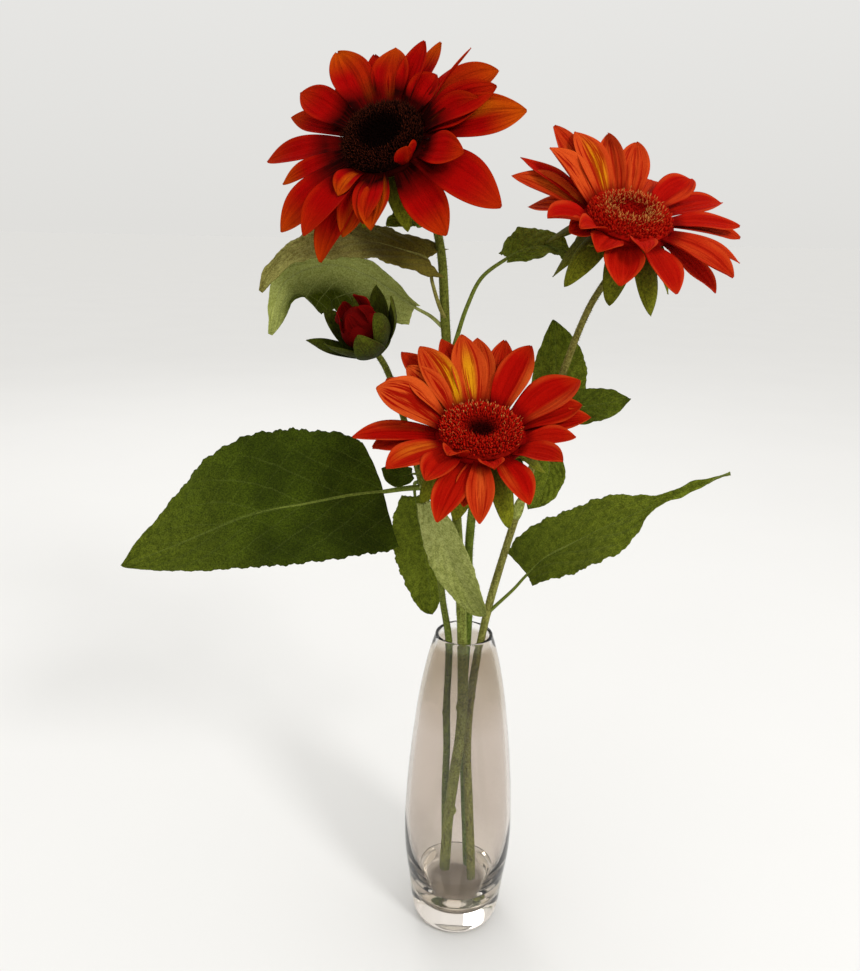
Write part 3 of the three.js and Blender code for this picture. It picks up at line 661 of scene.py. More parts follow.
FRONT_PETALS = [
    [13, 46, 14, -18, 0.85, -10], [18, 43, 18, -18, 1, -10], [30, 51, 26, -18, 1.4],
    [62, 50, 40, -18, 1.2], [74, 54, 34, -18, 1.05], [88, 52, 34, -16], [97, 51, 42, -16, 1.1],
    [105, 56, 32, -16], [124, 49, 42, -18, 1.2], [128, 57, 28, -16], [138, 41, 40, -18, 1.15, 15],
    [144, 49, 20, -18], [160, 46, 34, -18, 1.5, 25], [177, 53, 8, -20, 0.95], [182, 41, 0, -22, 1.1],
    [207, 40, 14, -28, 1, 15], [229, 29, 20, -40], [247, 46, 2, -28, 1.05], [257, 30, -4, -24, 0.7],
    [266, 44, 4, -30, 0.75], [293, 36, 10, -36], [320, 34, 32, -24, 1, -10],
    [352, 32, 20, -18, 0.7, -10],
]
FRONT_INNER_PETALS = [[236, 19, 72, -62], [276, 20, 68, -70]]


def petal_shapes(petals, seed, share):
    """Fills in a petal's lesser measures by rule. A petal steeper than the one before it grows from
    the upper row, and any other from the lower row."""
    full = [[*petal, *(1, 0)[len(petal) - 4:]] for petal in petals]
    return [dict(
        angle=angle, length=length, lift=lift, curl=curl, root=PETAL_ROOT_RADIUS,
        height=UPPER_ROW if lift >= petals[i - 1][2] else LOWER_ROW,
        swing=7 * draw_around(i, seed),
        twist=turn + 8 * draw_around(i, seed + 1),
        width=PETAL_WIDTH * share * wide * (0.94 + 0.16 * draw(i, seed + 2)),
        cup=0.3 + 0.16 * draw_around(i, seed + 3),
    ) for i, (angle, length, lift, curl, wide, turn) in enumerate(full)]


# ---- discs ----

DOME_RISE = 4.8
DOME_LOW = 1


def disc_height(share):
    """The dome is highest in a ring, and lower in its middle and at its edge."""
    return DOME_LOW + DOME_RISE * np.maximum(0, np.sin(math.pi * share ** 1.6)) ** 0.9


def add_spikes(piece, bases, ways, lengths, radii, profile, sides, **values):
    """Many small closed spikes at once. profile gives the radius and height of each ring as shares,
    and ends in a point."""
    ways, count = unit(ways), len(bases)
    radii, lengths = np.broadcast_to(radii, count), np.broadcast_to(lengths, count)
    helper = np.where(np.abs(ways[:, 2:3]) < 0.9, [[0, 0, 1]], [[1, 0, 0]])
    first = unit(np.cross(ways, helper))
    second = np.cross(ways, first)
    rings = [(r * math.cos(a), r * math.sin(a), z) for r, z in profile[:-1] for a in turns(sides)]
    local = np.array([*rings, (0, 0, profile[0][1]), (0, 0, profile[-1][1])])
    each = len(local)
    points = bases[:, None] + (
        first[:, None] * (local[:, 0] * radii[:, None])[..., None]
        + second[:, None] * (local[:, 1] * radii[:, None])[..., None]
        + ways[:, None] * (local[:, 2] * lengths[:, None])[..., None])
    ring = np.arange((len(profile) - 1) * sides).reshape(-1, sides)
    faces = [fan(ring[0], each - 2, False), fan(ring[-1], each - 1, True), ring_faces(len(ring), sides)]
    starts = (np.arange(count) * each)[:, None, None]
    faces = [(face + starts).reshape(-1, face.shape[1]) for face in faces]
    numbers = {name: np.repeat(np.broadcast_to(value, count), each) for name, value in values.items()}
    piece.add(points, faces, rise=np.tile(np.clip(local[:, 2], 0, 1), count), **numbers)


DISC_SIDES = 64
GOLDEN_ANGLE = math.pi * (3 - math.sqrt(5))
FLORET = [(0.8, -0.3), (1, 0.35), (0.75, 0.8), (0, 1)]
BRISTLE = [(1, -0.1), (0.7, 0.55), (0.95, 0.85), (0, 1)]


def spiral(count, low, high):
    """Places on a disc in a sunflower's spiral, as share of the radius and angle."""
    i = np.arange(count)
    share = np.sqrt(low ** 2 + (high ** 2 - low ** 2) * (i + 0.5) / count)
    return share, i * GOLDEN_ANGLE


def disc_places(share, angle, lean, sway, rng):
    """Points on the dome and the ways that florets stand there, leaning out by lean degrees."""
    bases = polar(DISC_RADIUS * share, angle, disc_height(share))
    tilt = np.radians(lean)
    ways = polar(np.sin(tilt), angle, np.cos(tilt))
    return bases, ways + rng.normal(0, sway, ways.shape)


def make_disc(name, matrix, bloom, rng):
    disc = Piece("share", "rise", "seed", "bright")
    shares = np.linspace(1, 0, 22)
    profile = [(0, 0), (DISC_RADIUS, 0), *[(DISC_RADIUS * s, disc_height(s)) for s in shares]]
    ring_share = np.repeat([1, *shares[:-1]], DISC_SIDES)
    add_lathe(disc, profile, DISC_SIDES, share=[*ring_share, 0, 0], seed=0.4)
    # Short packed florets cover the dome, closed and small in the middle.
    share, angle = spiral(FLORETS, 0, 0.96)
    angle = angle + rng.normal(0, 0.02, len(share)) / np.maximum(share, 0.2)
    share = np.clip(share + rng.normal(0, 0.012, len(share)), 0, 0.98)
    bases, ways = disc_places(share, angle, -14 + 44 * share, 0.09, rng)
    lengths = (1.1 + 1.7 * smooth(share, 0.2, 0.6)) * rng.uniform(0.75, 1.25, len(share))
    radii = (0.42 + 0.22 * share) * rng.uniform(0.85, 1.15, len(share))
    bright = bloom["floret_bright"] * rng.uniform(0, 1, len(share)) * smooth(share, 0.4, 0.7)
    seed = rng.uniform(0, 1, len(share))
    add_spikes(disc, bases, ways, lengths, radii, FLORET, 5, share=share, seed=seed, bright=bright)
    # Longer bristles stand in a ring and lean all ways, with bright ends.
    for low, high, count, length, radius, glow, sway in bloom["bristles"]:
        share, angle = spiral(count, low, high)
        angle = angle + rng.normal(0, 0.05, count)
        bases, ways = disc_places(share, angle, 50 * (share - 0.55), sway, rng)
        lengths = length * rng.uniform(0.6, 1.25, count)
        # The bright ends may fade toward the near side of the disc.
        glow = glow * (1 - bloom["fade"] * (0.5 - 0.5 * np.sin(angle)))
        add_spikes(disc, bases, ways, lengths, radius, BRISTLE, 4, share=share,
                   seed=rng.uniform(0, 1, count), bright=glow * rng.uniform(0.5, 1, count))
    disc.points = [placed(points, matrix) for points in disc.points]
    disc.build(f"{name}_bloom_disc", bloom["disc_finish"], bloom["disc_slot"], f"bloom_{name}_disc")


# ---- calyx ----

def make_calyx(name, matrix, bloom):
    seed, lift = bloom["seed"], bloom["bract_lift"]
    calyx = Piece("along", "across", "seed", "under")
    top = COLLAR_BOTTOM - 0.1
    cup = rounded([(4.4, CALYX_BOTTOM), (8, -15), (15.5, -11.6), (22, -9), (26, -5.6), (25, top)], 24)
    add_lathe(calyx, [(0, CALYX_BOTTOM), *cup, (0, top)], 48, matrix, seed=0.3)
    for i in range(BRACTS):
        odd = i % 2
        shape = dict(
            angle=360 * (i + 0.2 * draw_around(i, seed)) / BRACTS,
            root=BRACT_ROOT_RADIUS, height=-7.8 if odd else -6.4,
            length=BRACT_LENGTH * (0.9 + 0.25 * draw(i, seed + 1)),
            lift=lift - 14 * odd - 4 * draw(i, seed + 2),
            curl=-22 - 10 * draw(i, seed + 3),
            swing=10 * draw_around(i, seed + 4), twist=14 * draw_around(i, seed + 5),
            width=16 + 3 * draw(i, seed + 6), cup=-0.2)
        add_petal(calyx, shape, BRACT_FORM, BRACT_GRID, matrix, draw(i, seed + 8))
    # Short sepal tips clasp the cup between the bracts and the stem.
    for i in range(BRACTS):
        shape = dict(
            angle=360 * (i + 0.5 + 0.2 * draw_around(i, seed + 9)) / BRACTS,
            root=9, height=-14.2, length=17 + 5 * draw(i, seed + 10), lift=26, curl=-38,
            swing=8 * draw_around(i, seed + 11), twist=0, width=9, cup=-0.25)
        add_petal(calyx, shape, BRACT_FORM, SHORT_BRACT_GRID, matrix, draw(i, seed + 12))
    calyx.build(f"{name}_bloom_calyx", CALYX_FINISH, "calyx_green", f"bloom_{name}_calyx")


# ---- blooms ----

CALYX_FINISH = bract_finish("calyx_green", (60, 58, 8), (112, 116, 22), (50, 50, 6))

# How single petals differ, by their angle: the share that is warm, then the band, its side and its gold. A
# band is partly the petal's own golden or pale colour and partly a painted highlight along an edge. Zeros
# at the end are left out.
LEFT_LOOKS = {
    12: [1, 1, -0.45, 0.4], 22: [0.1], 44: [0.8, 0.2, -0.5, 0.2], 45: [0.7, 0.2], 58: [0], 72: [0.9],
    77: [0], 95: [0.6, 0.2], 107: [0], 124: [0.9, 0.2, 0.5], 162: [0.4], 205: [0.8], 226: [0.6],
    250: [0.5], 261: [0.8, 0.4], 279: [0.8, 0.8, -0.4, 0.2], 310: [0.4], 249: [0.9, 0.9, 0, 0.2],
    274: [0.3, 0.3, 0.4], 320: [0.2, 0.3],
}
RIGHT_LOOKS = {
    111: [0.7, 1, 0.35, 1], 119: [0.3, 0.3, 0, 0.2], 137: [0.8, 0.2], 143: [0],
    152: [0.4, 0.8, 0.4, 0.2], 157: [0.7, 0.3, 0.5], 91: [0.5, 1, -0.5, 0.1], 74: [0.45, 0.3],
    59: [0.4], 36: [0, 0.3, 0.6], 335: [0.3, 0.4, 0.5], 312: [0.2, 0.3], 357: [0.25, 0.2],
    190: [0, 0.5, -0.5],
}
FRONT_LOOKS = {
    97: [0.6, 1, 0, 0.8], 124: [0.75, 1, 0.6, 1], 138: [0.9, 0.2], 160: [0.9, 0.2], 177: [0, 0.4, 0.6],
    182: [0.1], 207: [0.1, 0.5, 0.4, 0.4], 74: [0.1, 0.4, -0.5], 88: [0.5, 0.2], 105: [0.1],
    62: [0, 0.9, 0.8], 30: [0, 0.7, 0.6], 128: [0.1], 144: [0.1], 293: [0, 0.3, 0.4, 0.1],
    266: [0.3, 0.7], 257: [0.5, 0.4], 236: [0.1, 0.3],
}

# Each ring of bristles: the shares of the disc's radius it lies between, how many, then their length,
# radius, brightness and sway.
BLOOMS = {
    "left": dict(
        centre=[-61.7, -27, 600.3], axis=[-0.264, -0.759, 0.595], seed=11, bract_lift=-20,
        outer=LEFT_PETALS, inner=LEFT_INNER_PETALS, looks=LEFT_LOOKS, usual=[0.2],
        slot="petal_deep_red", finish=petal_finish(
            "petal_deep_red", (30, 1, 0), (156, 4, 2), (168, 24, 3), (104, 2, 1), (190, 74, 4),
            (200, 110, 8), 0.4, 0.46, (0.55, 1), 0.1),
        disc_slot="disc_dark_brown", disc_finish=disc_finish(
            "disc_dark_brown", (9, 2, 1), (30, 9, 5), (96, 40, 22), (0.3, 0.75), 0.6),
        floret_bright=0.2, fade=0,
        bristles=[
            (0.55, 0.97, 900, 3.8, 0.17, 0.9, 0.32), (0.9, 1, 420, 4.4, 0.18, 0.3, 0.45),
            (0.1, 0.55, 260, 2.2, 0.15, 0.12, 0.2)]),
    "right": dict(
        centre=[90.1, -43, 556.1], axis=[0.086, -0.526, 0.846], seed=31, bract_lift=-32,
        outer=RIGHT_PETALS, inner=RIGHT_INNER_PETALS, looks=RIGHT_LOOKS, usual=[0.04],
        slot="petal_orange_red", finish=petal_finish(
            "petal_orange_red_right", (112, 3, 1), (172, 13, 4), (188, 36, 8), (146, 3, 1),
            (214, 84, 30), (224, 156, 14), 1, 0.24, (0.02, 0.3), 0.34),
        disc_slot="disc_red_gold", disc_finish=disc_finish(
            "disc_red_gold_right", (150, 16, 7), (178, 15, 5), (224, 164, 84), (0.4, 0.7), 0.45),
        floret_bright=0.05, fade=0,
        bristles=[(0.38, 0.72, 430, 5.4, 0.17, 1, 0.5), (0.7, 1, 420, 3.2, 0.17, 0.1, 0.45)]),
    "front": dict(
        centre=[2.3, -81, 428.8], axis=[0.016, -0.436, 0.9], seed=51, bract_lift=-30,
        outer=FRONT_PETALS, inner=FRONT_INNER_PETALS, looks=FRONT_LOOKS, usual=[0.04],
        slot="petal_orange_red", finish=petal_finish(
            "petal_orange_red_front", (104, 2, 1), (170, 11, 3), (186, 40, 8), (146, 4, 1),
            (212, 86, 30), (218, 154, 12), 1, 0.24, (0.02, 0.3), 0.36),
        disc_slot="disc_red_gold", disc_finish=disc_finish(
            "disc_red_gold_front", (42, 2, 1), (190, 24, 10), (240, 188, 100), (0.2, 0.5), 0.55),
        floret_bright=0, fade=0.85,
        bristles=[(0.5, 0.97, 260, 4.2, 0.19, 1, 0.38), (0.3, 1, 620, 3.2, 0.16, 0, 0.4)]),
}


def make_bloom(name, bloom, rng):
    matrix = bloom_matrix(bloom["centre"], bloom["axis"])
    seed = bloom["seed"]
    petals = Piece("along", "across", "seed", "under", *LOOK)
    collar = [(0, COLLAR_BOTTOM), (COLLAR_RADIUS - 1, COLLAR_BOTTOM), (COLLAR_RADIUS, COLLAR_BOTTOM + 1),
              (COLLAR_RADIUS, COLLAR_TOP - 1), (COLLAR_RADIUS - 1, COLLAR_TOP), (0, COLLAR_TOP)]
    add_lathe(petals, collar, 64, matrix, seed=0.5)
    outer = petal_shapes(bloom["outer"], seed + 7, 1)
    inner = petal_shapes(bloom["inner"], seed + 12, INNER_WIDTH)
    for i, shape in enumerate(outer + inner):
        look = [*bloom["looks"].get(shape["angle"], bloom["usual"]), 0, 0, 0]
        add_petal(petals, shape, PETAL_FORM, PETAL_GRID, matrix, draw(i, seed + 40),
                  **dict(zip(LOOK, look)))
    petals.build(f"{name}_bloom_petals", bloom["finish"], bloom["slot"], f"bloom_{name}_petals")
    make_calyx(name, matrix, bloom)
    make_disc(name, matrix, bloom, rng)


# ---- bud ----

BUD = dict(centre=[-73, -34, 483], axis=[-0.42, -0.45, 0.79], radius=14, length=27)
BUD_CUP_TOP = -9.4
BUD_CORE_BOTTOM = -9.05
BUD_SEPALS = 8
BUD_PETALS = 5


def make_bud():
    matrix = bloom_matrix(BUD["centre"], BUD["axis"])
    sepals = Piece("along", "across", "seed", "under")
    top = BUD_CUP_TOP
    cup = rounded([(3.6, BUD_BOTTOM), (7.2, -16.6), (10.4, -14.4), (13.8, -11.6), (13.6, top)], 18)
    add_lathe(sepals, [(0, BUD_BOTTOM), *cup, (0, top)], 40, matrix, seed=0.4)
    for i in range(BUD_SEPALS):
        outer = i % 2
        shape = dict(
            angle=360 * i / BUD_SEPALS + 4 * draw_around(i, 71),
            root=12 + 0.8 * outer, height=-10.7 - 1.2 * outer, length=29 + 9 * draw(i, 72),
            lift=44 - 8 * outer, curl=60 - 34 * draw(i, 73), swing=4 * draw_around(i, 74),
            twist=0, width=19, cup=0.28)
        add_petal(sepals, shape, BRACT_FORM, BRACT_GRID, matrix, draw(i, 75))
    finish = bract_finish("bud_green", (44, 52, 6), (70, 76, 14), (44, 28, 5))
    sepals.build("bud_sepals_fine", finish, "calyx_green", "bud_sepals")

    petals = Piece("along", "across", "seed", "under", *LOOK)
    bottom, length = BUD_CORE_BOTTOM, BUD["length"]
    core = [(BUD["radius"] * math.sin(math.pi * (0.16 + 0.76 * s)) ** 0.8, bottom + length * s)
            for s in np.linspace(0.04, 0.97, 20)]
    add_lathe(petals, [(0, bottom), *core, (0, bottom + length)], 32, matrix, along=0.3, seed=0.2)
    for i in range(BUD_PETALS):
        shape = dict(
            angle=360 * i / BUD_PETALS + 20, root=8, height=3 + 1.5 * (i % 2),
            length=18 + 4 * draw(i, 81), lift=70, curl=40, swing=20, twist=16,
            width=11, cup=-0.3)
        add_petal(petals, shape, PETAL_FORM, BUD_PETAL_GRID, matrix, draw(i, 82))
    finish = petal_finish(
        "bud_red", (30, 1, 1), (98, 5, 4), (122, 9, 5), (48, 2, 1),
        (134, 12, 7), (134, 12, 7), 0.7, 0.3, (0.02, 0.3), 0.3)
    petals.build("bud_petals_fine", finish, "petal_deep_red", "bud_petals")


# ---- stems ----

# Routes from the cut end up to where the neck turns into the bloom. Each knot has its share of the
# route, the side it is thickest on and its size.
STEMS = {
    "left": dict(radius=(4.5, 2.8), knots=[
        (0.125, 3.4, 1.5), (0.3, 0.5, 1), (0.44, 2, 0.9), (0.68, 4, 0.9)], points=[
        [-9.5, 13, 18.2], [-8.6, 9, 50], [-7, 4, 90], [-3.8, -1, 130], [-0.6, -5, 165], [0.2, -7.5, 205],
        [-1.6, -9, 250], [-4, -9, 290], [-9.5, -8, 360], [-15.5, -7, 430], [-20, -5, 485],
        [-25, -3, 538], [-33, 1, 561]], finish=stem_finish(
        "stem_grey_green", (150, 162, 80), (98, 104, 38), (76, 74, 24))),
    "right": dict(radius=(3.7, 2.1), knots=[(0.33, 0.6, 1.2), (0.47, 5, 0.8)], points=[
        [14, -1, 18.2], [11.5, 0, 60], [8.8, 2, 100], [6.2, 4, 140], [6.2, 6.5, 175], [9, 7, 212],
        [14.2, 5, 250], [19.5, 2.5, 282], [29, -2, 326], [41, -8, 377], [57, -15, 445],
        [73, -23, 500]], finish=stem_finish(
        "stem_olive", (152, 160, 80), (122, 116, 56), (76, 68, 26))),
    "front": dict(radius=(3, 2.9), knots=[(0.4, 1, 0.8)], points=[
        [10.5, 17, 19.8], [8, 16.5, 60], [5, 15.5, 110], [2.2, 15, 160], [2, 11.5, 210], [3.2, 7, 250],
        [3, -3, 290], [0.5, -21, 326], [0.4, -45, 364]], finish=stem_finish(
        "stem_light_green", (138, 168, 84), (92, 106, 30), (82, 92, 28))),
    "bud": dict(radius=(3.1, 2.1), knots=[(0.36, 1, 0.8), (0.76, 3, 1.4)], points=[
        [-7.5, 21.5, 21.4], [-9.5, 18, 60], [-10.6, 12.5, 110], [-10.6, 5, 150], [-11.8, -0.5, 190],
        [-11.5, -5.5, 248], [-17, -8.5, 284], [-23.5, -12, 334], [-34, -17, 376],
        [-46, -21, 420]], finish=stem_finish(
        "stem_bud_green", (128, 150, 72), (92, 98, 34), (68, 66, 22))),
}


def stem_route(name):
    """The neck follows the bloom's axis for its last stretch, up into the calyx."""
    head = BUD if name == "bud" else BLOOMS[name]
    depth = BUD_BOTTOM if name == "bud" else CALYX_BOTTOM
    along = unit(head["axis"])
    ends = [np.array(head["centre"]) + along * (depth - drop) for drop in (15, -1)]
    return Route([*STEMS[name]["points"], *ends])


HAIRS = 2400
HAIR_RADIUS = 0.11
HAIR = [(1, -0.1), (0, 1)]


def make_stem(name, rng):
    stem = STEMS[name]
    low, high = stem["radius"]
    route = stem_route(name)

    def radius_at(t, angle):
        radius = low + (high - low) * t
        radius = radius * (1 + 0.035 * np.sin(5 * angle + 9 * t) + 0.03 * np.sin(40 * t + 2 * angle))
        for place, side, size in stem["knots"]:
            away = (angle - side + math.pi) % (TURN) - math.pi
            near = (t - place) * route.length
            radius = radius + size * hump(near, 0, 2.6) * (0.25 + hump(away, 0, 0.7))
        return radius

    piece = Piece("along")
    add_tube(piece, route, int(route.length / 1.6), 20, radius_at)
    # Fine hairs, thickest on the upper part and none where the stem stands in water.
    t = 0.12 + 0.87 * rng.uniform(0, 1, HAIRS) ** 0.8
    ways = route.along(t)
    outward = rng.normal(0, 1, (HAIRS, 3))
    outward = unit(outward - ways * np.sum(outward * ways, axis=1, keepdims=True))
    bases = route.at(t) + outward * ((low + (high - low) * t) * 0.96)[:, None]
    lengths = rng.uniform(0.6, 1.5, HAIRS)
    ways = outward + rng.normal(0, 0.25, outward.shape)
    add_spikes(piece, bases, ways, lengths, HAIR_RADIUS, HAIR, 3, along=t)
    if name == "right":
        add_sheath(piece, route)
    piece.build(f"{name}_stem", stem["finish"], "stem_green", f"stem_{name}")


SHEATH_SHARE = (0.62, 0.648)


def add_sheath(piece, route):
    """The pale clasping base of a leaf, wrapped round the stem with a lobed lower edge."""
    def radius_at(t, angle):
        lobes = 1 + 0.14 * np.sin(3 * angle + 1)
        return 2.4 + 1.7 * np.sin(math.pi * (0.04 + 0.9 * t)) ** 0.5 * lobes - 0.4 * t

    places = route.at(np.linspace(*SHEATH_SHARE, 5))
    add_tube(piece, Route(places), 18, 24, radius_at, along=0)


# ---- leaves ----

def leaf_outline(t, peak, base, taper, tail):
    """Half the width of a leaf as a share of its widest: heart-shaped at the base, widest at peak and
    drawn to a point. A large taper leaves it no wider than a tail for the last stretch."""
    rising = base + (1 - base) * np.sin(math.pi / 2 * np.minimum(1, t / peak))
    past = np.clip((t - peak) / (1 - peak), 0, 1)
    body = np.maximum(0, np.cos(math.pi / 2 * past ** 1.15)) ** taper
    return np.where(t < peak, rising, np.maximum(body, tail * (1 - t)) * 0.99 + 0.01)


def vein_relief(t, x):
    """Sunk midrib and side veins, with the blade puffed between them."""
    reach = np.abs(x)
    phase = (t - VEIN_LEAN * reach) * VEINS
    away = np.abs(phase - np.round(phase))
    edge = 1 - smooth(reach, 0.75, 1)
    puff = 0.45 * np.cos(TURN * (phase - 0.5)) * edge * smooth(reach, 0.02, 0.3)
    return puff - 0.45 * hump(reach, 0, 0.05) * (1 - t) - 0.25 * hump(away, 0, 0.08) * edge


# What a leaf has where nothing else is given. A pair is for its two sides, and for light, which is painted
# light and shade, its two ends.
USUAL_LEAF = dict(
    peak=0.3, base=0.42, taper=0.9, lobes=3, light=0, edge_light=0, fold=8, wave=2, waves=2, tail=0,
    stalk_radius=1.5, grid=(90, 28), tone="green")


def add_leaf(piece, leaf, seed):
    halves, peak, base, taper, lobes, light = [
        np.broadcast_to(leaf[name], 2) for name in ("halves", "peak", "base", "taper", "lobes", "light")]
    fold, wave, waves = math.radians(leaf["fold"]), leaf["wave"], leaf["waves"]
    t, T, X = grid_of(*leaf["grid"])
    route = Route(leaf["midrib"])
    along = route.along(t)
    facing = np.atleast_2d(leaf["facing"])
    look = unit(facing[0]) * (1 - t[:, None]) + unit(facing[-1]) * t[:, None]
    side = unit(np.cross(along, look))
    up = np.cross(side, along)
    # Teeth of uneven size, only at the margin.
    teeth = route.length / TOOTH
    jag = 0.5 * np.abs((teeth * t + 0.3 * np.sin(17 * t + seed)) % 1 - 0.5) * 2 - 0.25
    jag = jag + 0.35 * np.sin(0.37 * teeth * t * TURN + 4 * seed)
    jag = (0.9 + 0.5 * math.sin(seed)) * jag[:, None]
    margin = 1 + jag * np.abs(X) ** 9 * 3.2 / (halves[0] + halves[1])
    half = [leaf_outline(t, peak[k], base[k], taper[k], leaf["tail"])[:, None] * halves[k] for k in (0, 1)]
    reach = np.where(X < 0, half[0], half[1]) * np.abs(X) * margin
    ripple = wave * X ** 2 * np.sin(TURN * (waves * T + 0.3 * X))
    fine = 0.35 * wave * np.abs(X) ** 3 * np.sin(TURN * (3.1 * waves * T + 0.6 * X + seed))
    rise = reach * math.sin(fold) + ripple + fine + vein_relief(T, X)
    back = np.where(X < 0, lobes[0], lobes[1]) * (1 - T) ** 4 * np.abs(X) ** 1.5
    middle = route.at(t)[:, None] - along[0] * back[..., None]
    middle = middle + side[:, None] * (np.sign(X) * reach * math.cos(fold))[..., None]
    middle = middle + up[:, None] * rise[..., None]
    # light is painted light and shade, read between the leaf's two ends; edge_light adds more of it on one
    # side, strongest half way along.
    light = np.interp(T, (0, 1), light)
    light = light + leaf["edge_light"] * np.clip(X, 0, 1) ** 1.5 * np.sin(math.pi * T)
    add_blade(piece, middle, up, LEAF_THICKNESS * (1 - 0.45 * X ** 2), along=T, across=X, light=light)
    # The stalk runs out of the stem and on below the midrib, where it thins away.
    rib = route.at(np.linspace(0, 0.7, 6)) - up[[0] * 6] * 0.5
    stalk = Route([*leaf["stalk"], *rib])
    split = 1 - route.length * 0.7 / stalk.length

    def radius_at(s, angle):
        blade_part = smooth(s, split, 1)
        thick = leaf["stalk_radius"] * (1 - 0.3 * np.minimum(1, s / split))
        return thick * (1 - 0.85 * blade_part) + 0.1 * np.sin(3 * angle)

    # The stalk gets painted light, so it shows paler.
    add_tube(piece, stalk, 60, 10, radius_at, under=0.35, light=0.8)


LEAVES = {
    "large_left": dict(
        stalk=[[-33.5, -16.5, 374], [-46, -17.5, 373]],
        midrib=[[-61, -19, 371], [-80, -24, 370], [-107, -31, 366], [-150, -37, 358],
            [-193, -41, 340], [-240, -43, 320]], facing=[[0, -0.8, 0.6], [-0.1, -0.85, 0.5]],
        halves=(45, 56), peak=(0.12, 0.3), base=(0.95, 0.66), taper=(0.95, 1.05), fold=5, wave=3,
        lobes=(4, -10), stalk_radius=2.2, grid=(150, 44), light=(-0.4, 0.5)),
    "right": dict(
        stalk=[[17, 3.5, 268], [24, 1, 277], [36, -1, 291]],
        midrib=[[45, -3, 304], [57, -5, 318], [71, -6, 327], [95, -10, 343], [122, -14, 359],
            [150, -18, 376], [180, -20, 390]], facing=[[-0.35, -0.62, 0.7], [-0.3, -0.35, 0.85]],
        halves=(27, 29), peak=(0.3, 0.38), base=(1, 0.42), taper=(3.6, 8), tail=0.55, waves=3,
        lobes=(4, 0), grid=(150, 32), light=(0.35, 0.9)),
    "hanging_back": dict(
        stalk=[[-35, -15.5, 377], [-39, -7, 374]],
        midrib=[[-39, -1, 362], [-36, 3, 340], [-32, 5, 318], [-28, 6, 294], [-24, 6, 266]],
        facing=[-0.1, -1, 0.1], halves=(17, 22), peak=0.35, taper=(0.75, 0.5), fold=6, wave=1.5,
        light=(0.8, 0.7)),
    "hanging_front": dict(
        stalk=[[-34.5, -19, 375], [-33, -23.5, 374]],
        midrib=[[-30, -29, 366], [-21, -32, 347], [-9, -33, 318], [3, -31, 297], [14, -26, 281]],
        facing=[-0.45, -0.85, 0.1], halves=(18, 15), peak=0.35, taper=(0.85, 0.45), fold=16, wave=1,
        light=(1, 0.3), tone='pale'),
    "small_left": dict(
        stalk=[[-36.5, -18, 384]],
        midrib=[[-41, -17.5, 384], [-47, -17, 382], [-54, -17, 382], [-62, -19, 388]],
        facing=[0, -0.7, 0.7], halves=9, peak=0.4, fold=4, wave=0.6, waves=1, lobes=1, stalk_radius=1,
        grid=(36, 16)),
    "upper_pale": dict(
        stalk=[[-20.5, -4.5, 483], [-30, -2, 491]],
        midrib=[[-41, 0, 497], [-56, 2, 507], [-75, 3, 518], [-100, 1, 524], [-128, -6, 512],
            [-137, -16, 478]], facing=[[0.1, 0.8, 0.5], [0.5, 0.75, 0.3]], halves=(13, 34), peak=0.42,
        fold=-14, grid=(110, 36), tone='pale', edge_light=-3),
    "upper_dark": dict(
        stalk=[[-20.5, -6, 490], [-25, -11, 500], [-29.5, -13, 514]],
        midrib=[[-33, -11, 529], [-58, -13, 537], [-86, -15, 541], [-111, -18, 536], [-130, -22, 523],
            [-141, -26, 507]], facing=[0, -0.6, 0.8], halves=(20, 18), peak=0.25, base=(0.55, 0.75),
        fold=4, lobes=(14, 12), tone='brown', grid=(100, 32), light=(-0.6, 2.3)),
    "under_left_bloom": dict(
        stalk=[[-27.5, -3, 546], [-33, -8, 551]],
        midrib=[[-38, -12, 553], [-44, -15, 554], [-51, -18, 553], [-60, -21, 550]],
        facing=[-0.2, -0.7, 0.6], halves=9, peak=0.4, fold=6, wave=1, waves=1, lobes=2,
        stalk_radius=1.3, grid=(40, 18), light=0.9),
    "by_right_bloom": dict(
        stalk=[[-17.5, -7, 457], [-12, -9, 479], [-6, -11, 499], [3, -13, 518]],
        midrib=[[19, -15, 531], [31, -13, 537], [44, -9, 539], [56, -4, 536], [66, 1, 530]],
        facing=[-0.1, -0.55, 0.8], halves=(18, 16), peak=0.4, fold=10, wave=1.5, stalk_radius=1.7,
        light=(0.6, 0.8)),
    "behind_right_stem": dict(
        stalk=[[51.5, -11, 419]], midrib=[[54, -4, 425], [56.5, -1, 444], [57, 2, 467], [54, 4, 490]],
        facing=[0, -1, 0.2], halves=(16, 22), peak=0.36, fold=6, wave=1.5, lobes=4, light=(0.5, 0.6)),
    "small_right": dict(
        stalk=[[54, -14, 430]],
        midrib=[[61, -15, 431], [76, -17, 434], [91, -18, 437], [107, -18, 440]],
        facing=[0.05, -0.75, 0.62], halves=(13, 14), peak=0.36, fold=6, wave=1.2, grid=(70, 28),
        light=(0.2, 0.4)),
    "low_right": dict(
        stalk=[[46, -9, 398], [52, -4, 400]],
        midrib=[[54, -2, 398], [57, -2, 385], [53, -3, 370], [43, -4, 355]], facing=[0, -1, 0.15],
        halves=(12, 17), peak=0.4, wave=1.2, grid=(70, 28), light=(0.5, 0.7)),
}


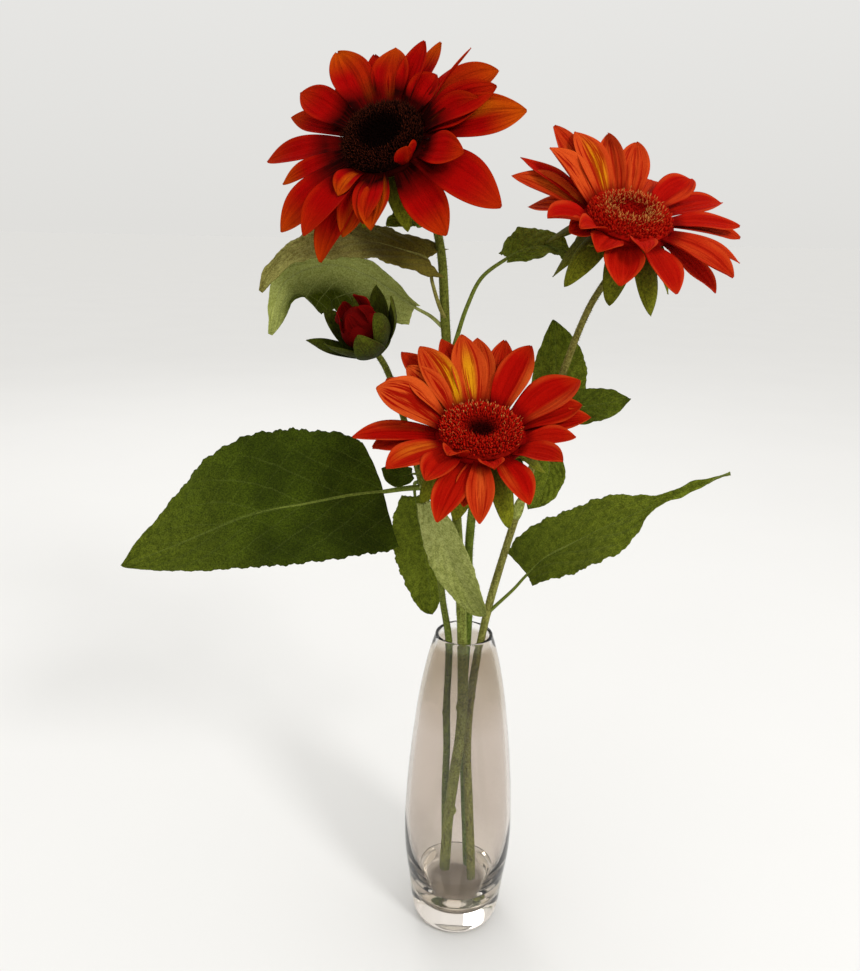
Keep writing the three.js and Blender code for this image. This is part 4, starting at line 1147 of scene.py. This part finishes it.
def make_leaves():
    tones = {
        "green": leaf_finish(
            "leaf_green", (62, 75, 10), (42, 52, 5), (108, 120, 54), (106, 114, 52),
            (130, 142, 40)),
        "pale": leaf_finish(
            "leaf_pale_green", (126, 134, 54), (94, 102, 32), (158, 164, 98), (166, 172, 94),
            (180, 184, 114)),
        "brown": leaf_finish(
            "leaf_brown_green", (108, 98, 36), (84, 72, 20), (128, 122, 62), (96, 96, 42),
            (156, 152, 84)),
    }
    for i, (name, leaf) in enumerate(LEAVES.items()):
        leaf = {**USUAL_LEAF, **leaf}
        piece = Piece("along", "across", "under", "light")
        add_leaf(piece, leaf, 1 + i)
        piece.build(f"leaf_{name}_fine", tones[leaf["tone"]], "leaf_green", f"leaf_{name}")


# ---- stage, light and camera ----

FLOOR_RADIUS = 60
FLOOR_DROP = 0.0004
SKY_LOW, SKY_HIGH = (0.745, 0.738, 0.715, 1), (0.98, 0.98, 0.97, 1)
LIGHT_TARGET = (0, 0, 0.35)


def show(name, data, matrix):
    shown = bpy.data.objects.new(name, data)
    shown.matrix_world = matrix
    bpy.context.scene.collection.objects.link(shown)
    return shown


def make_floor():
    bpy.ops.mesh.primitive_circle_add(
        vertices=96, radius=FLOOR_RADIUS, fill_type="NGON", location=(0, 0, -FLOOR_DROP))
    floor = bpy.context.object
    floor.name = "floor"
    f = Finish("floor", Roughness=0.9, Specular_IOR_Level=0)
    f.base = f.mix(f.noise(f.place, 3), (234, 233, 231), (237, 236, 234))
    floor.data.materials.append(f.paint())


def add_area_light(name, place, size, power):
    light = bpy.data.lights.new(name, "AREA")
    light.shape, light.size, light.energy = "DISK", size, power
    away = unit(np.array(place) - LIGHT_TARGET)
    side = unit(np.cross([0, 0, 1], away))
    up = np.cross(away, side)
    show(name, light, Matrix([[side[k], up[k], away[k], place[k]] for k in range(3)] + [[0, 0, 0, 1]]))


def make_world():
    """A pale sky that is brighter overhead, as over a studio table. Its foot is as bright as the far
    floor under it, so no horizon shows."""
    world = bpy.data.worlds.new("studio")
    world.use_nodes = True
    tree = world.node_tree
    place = tree.nodes.new("ShaderNodeTexCoord")
    split = tree.nodes.new("ShaderNodeSeparateXYZ")
    ramp = tree.nodes.new("ShaderNodeValToRGB")
    tree.links.new(place.outputs["Generated"], split.inputs[0])
    tree.links.new(split.outputs["Z"], ramp.inputs["Fac"])
    tree.links.new(ramp.outputs["Color"], tree.nodes["Background"].inputs["Color"])
    low, high = ramp.color_ramp.elements
    low.color, high.color = SKY_LOW, SKY_HIGH
    bpy.context.scene.world = world


def make_light():
    bpy.context.scene.view_settings.view_transform = "Standard"
    make_world()
    add_area_light("key", (1.3, -1.7, 1.9), 0.6, 26)
    add_area_light("back", (-0.6, 1.7, 1.9), 0.9, 7)


CAMERA_PLACE = (-28.3, -589, 547)
CAMERA_DIP = 16.7
CAMERA_ROLL = 1.2
SENSOR = 36
FOCAL_PIXELS = 850
IMAGE_HEIGHT = 971


def make_camera():
    data = bpy.data.cameras.new("camera")
    data.sensor_width = SENSOR
    data.lens = FOCAL_PIXELS * SENSOR / IMAGE_HEIGHT
    data.clip_start, data.clip_end = 0.01, 50
    tilt = Matrix.Rotation(math.radians(90 - CAMERA_DIP), 4, "X")
    roll = Matrix.Rotation(math.radians(CAMERA_ROLL), 4, "Z")
    place = Matrix.Translation([c * MM for c in CAMERA_PLACE])
    bpy.context.scene.camera = show("camera", data, place @ (tilt @ roll))


rng = np.random.default_rng(RANDOM_SEED)
make_camera()
make_light()
make_floor()
make_vase()
for stem_name in STEMS:
    make_stem(stem_name, rng)
for bloom_name, bloom in BLOOMS.items():
    make_bloom(bloom_name, bloom, rng)
make_bud()
make_leaves()
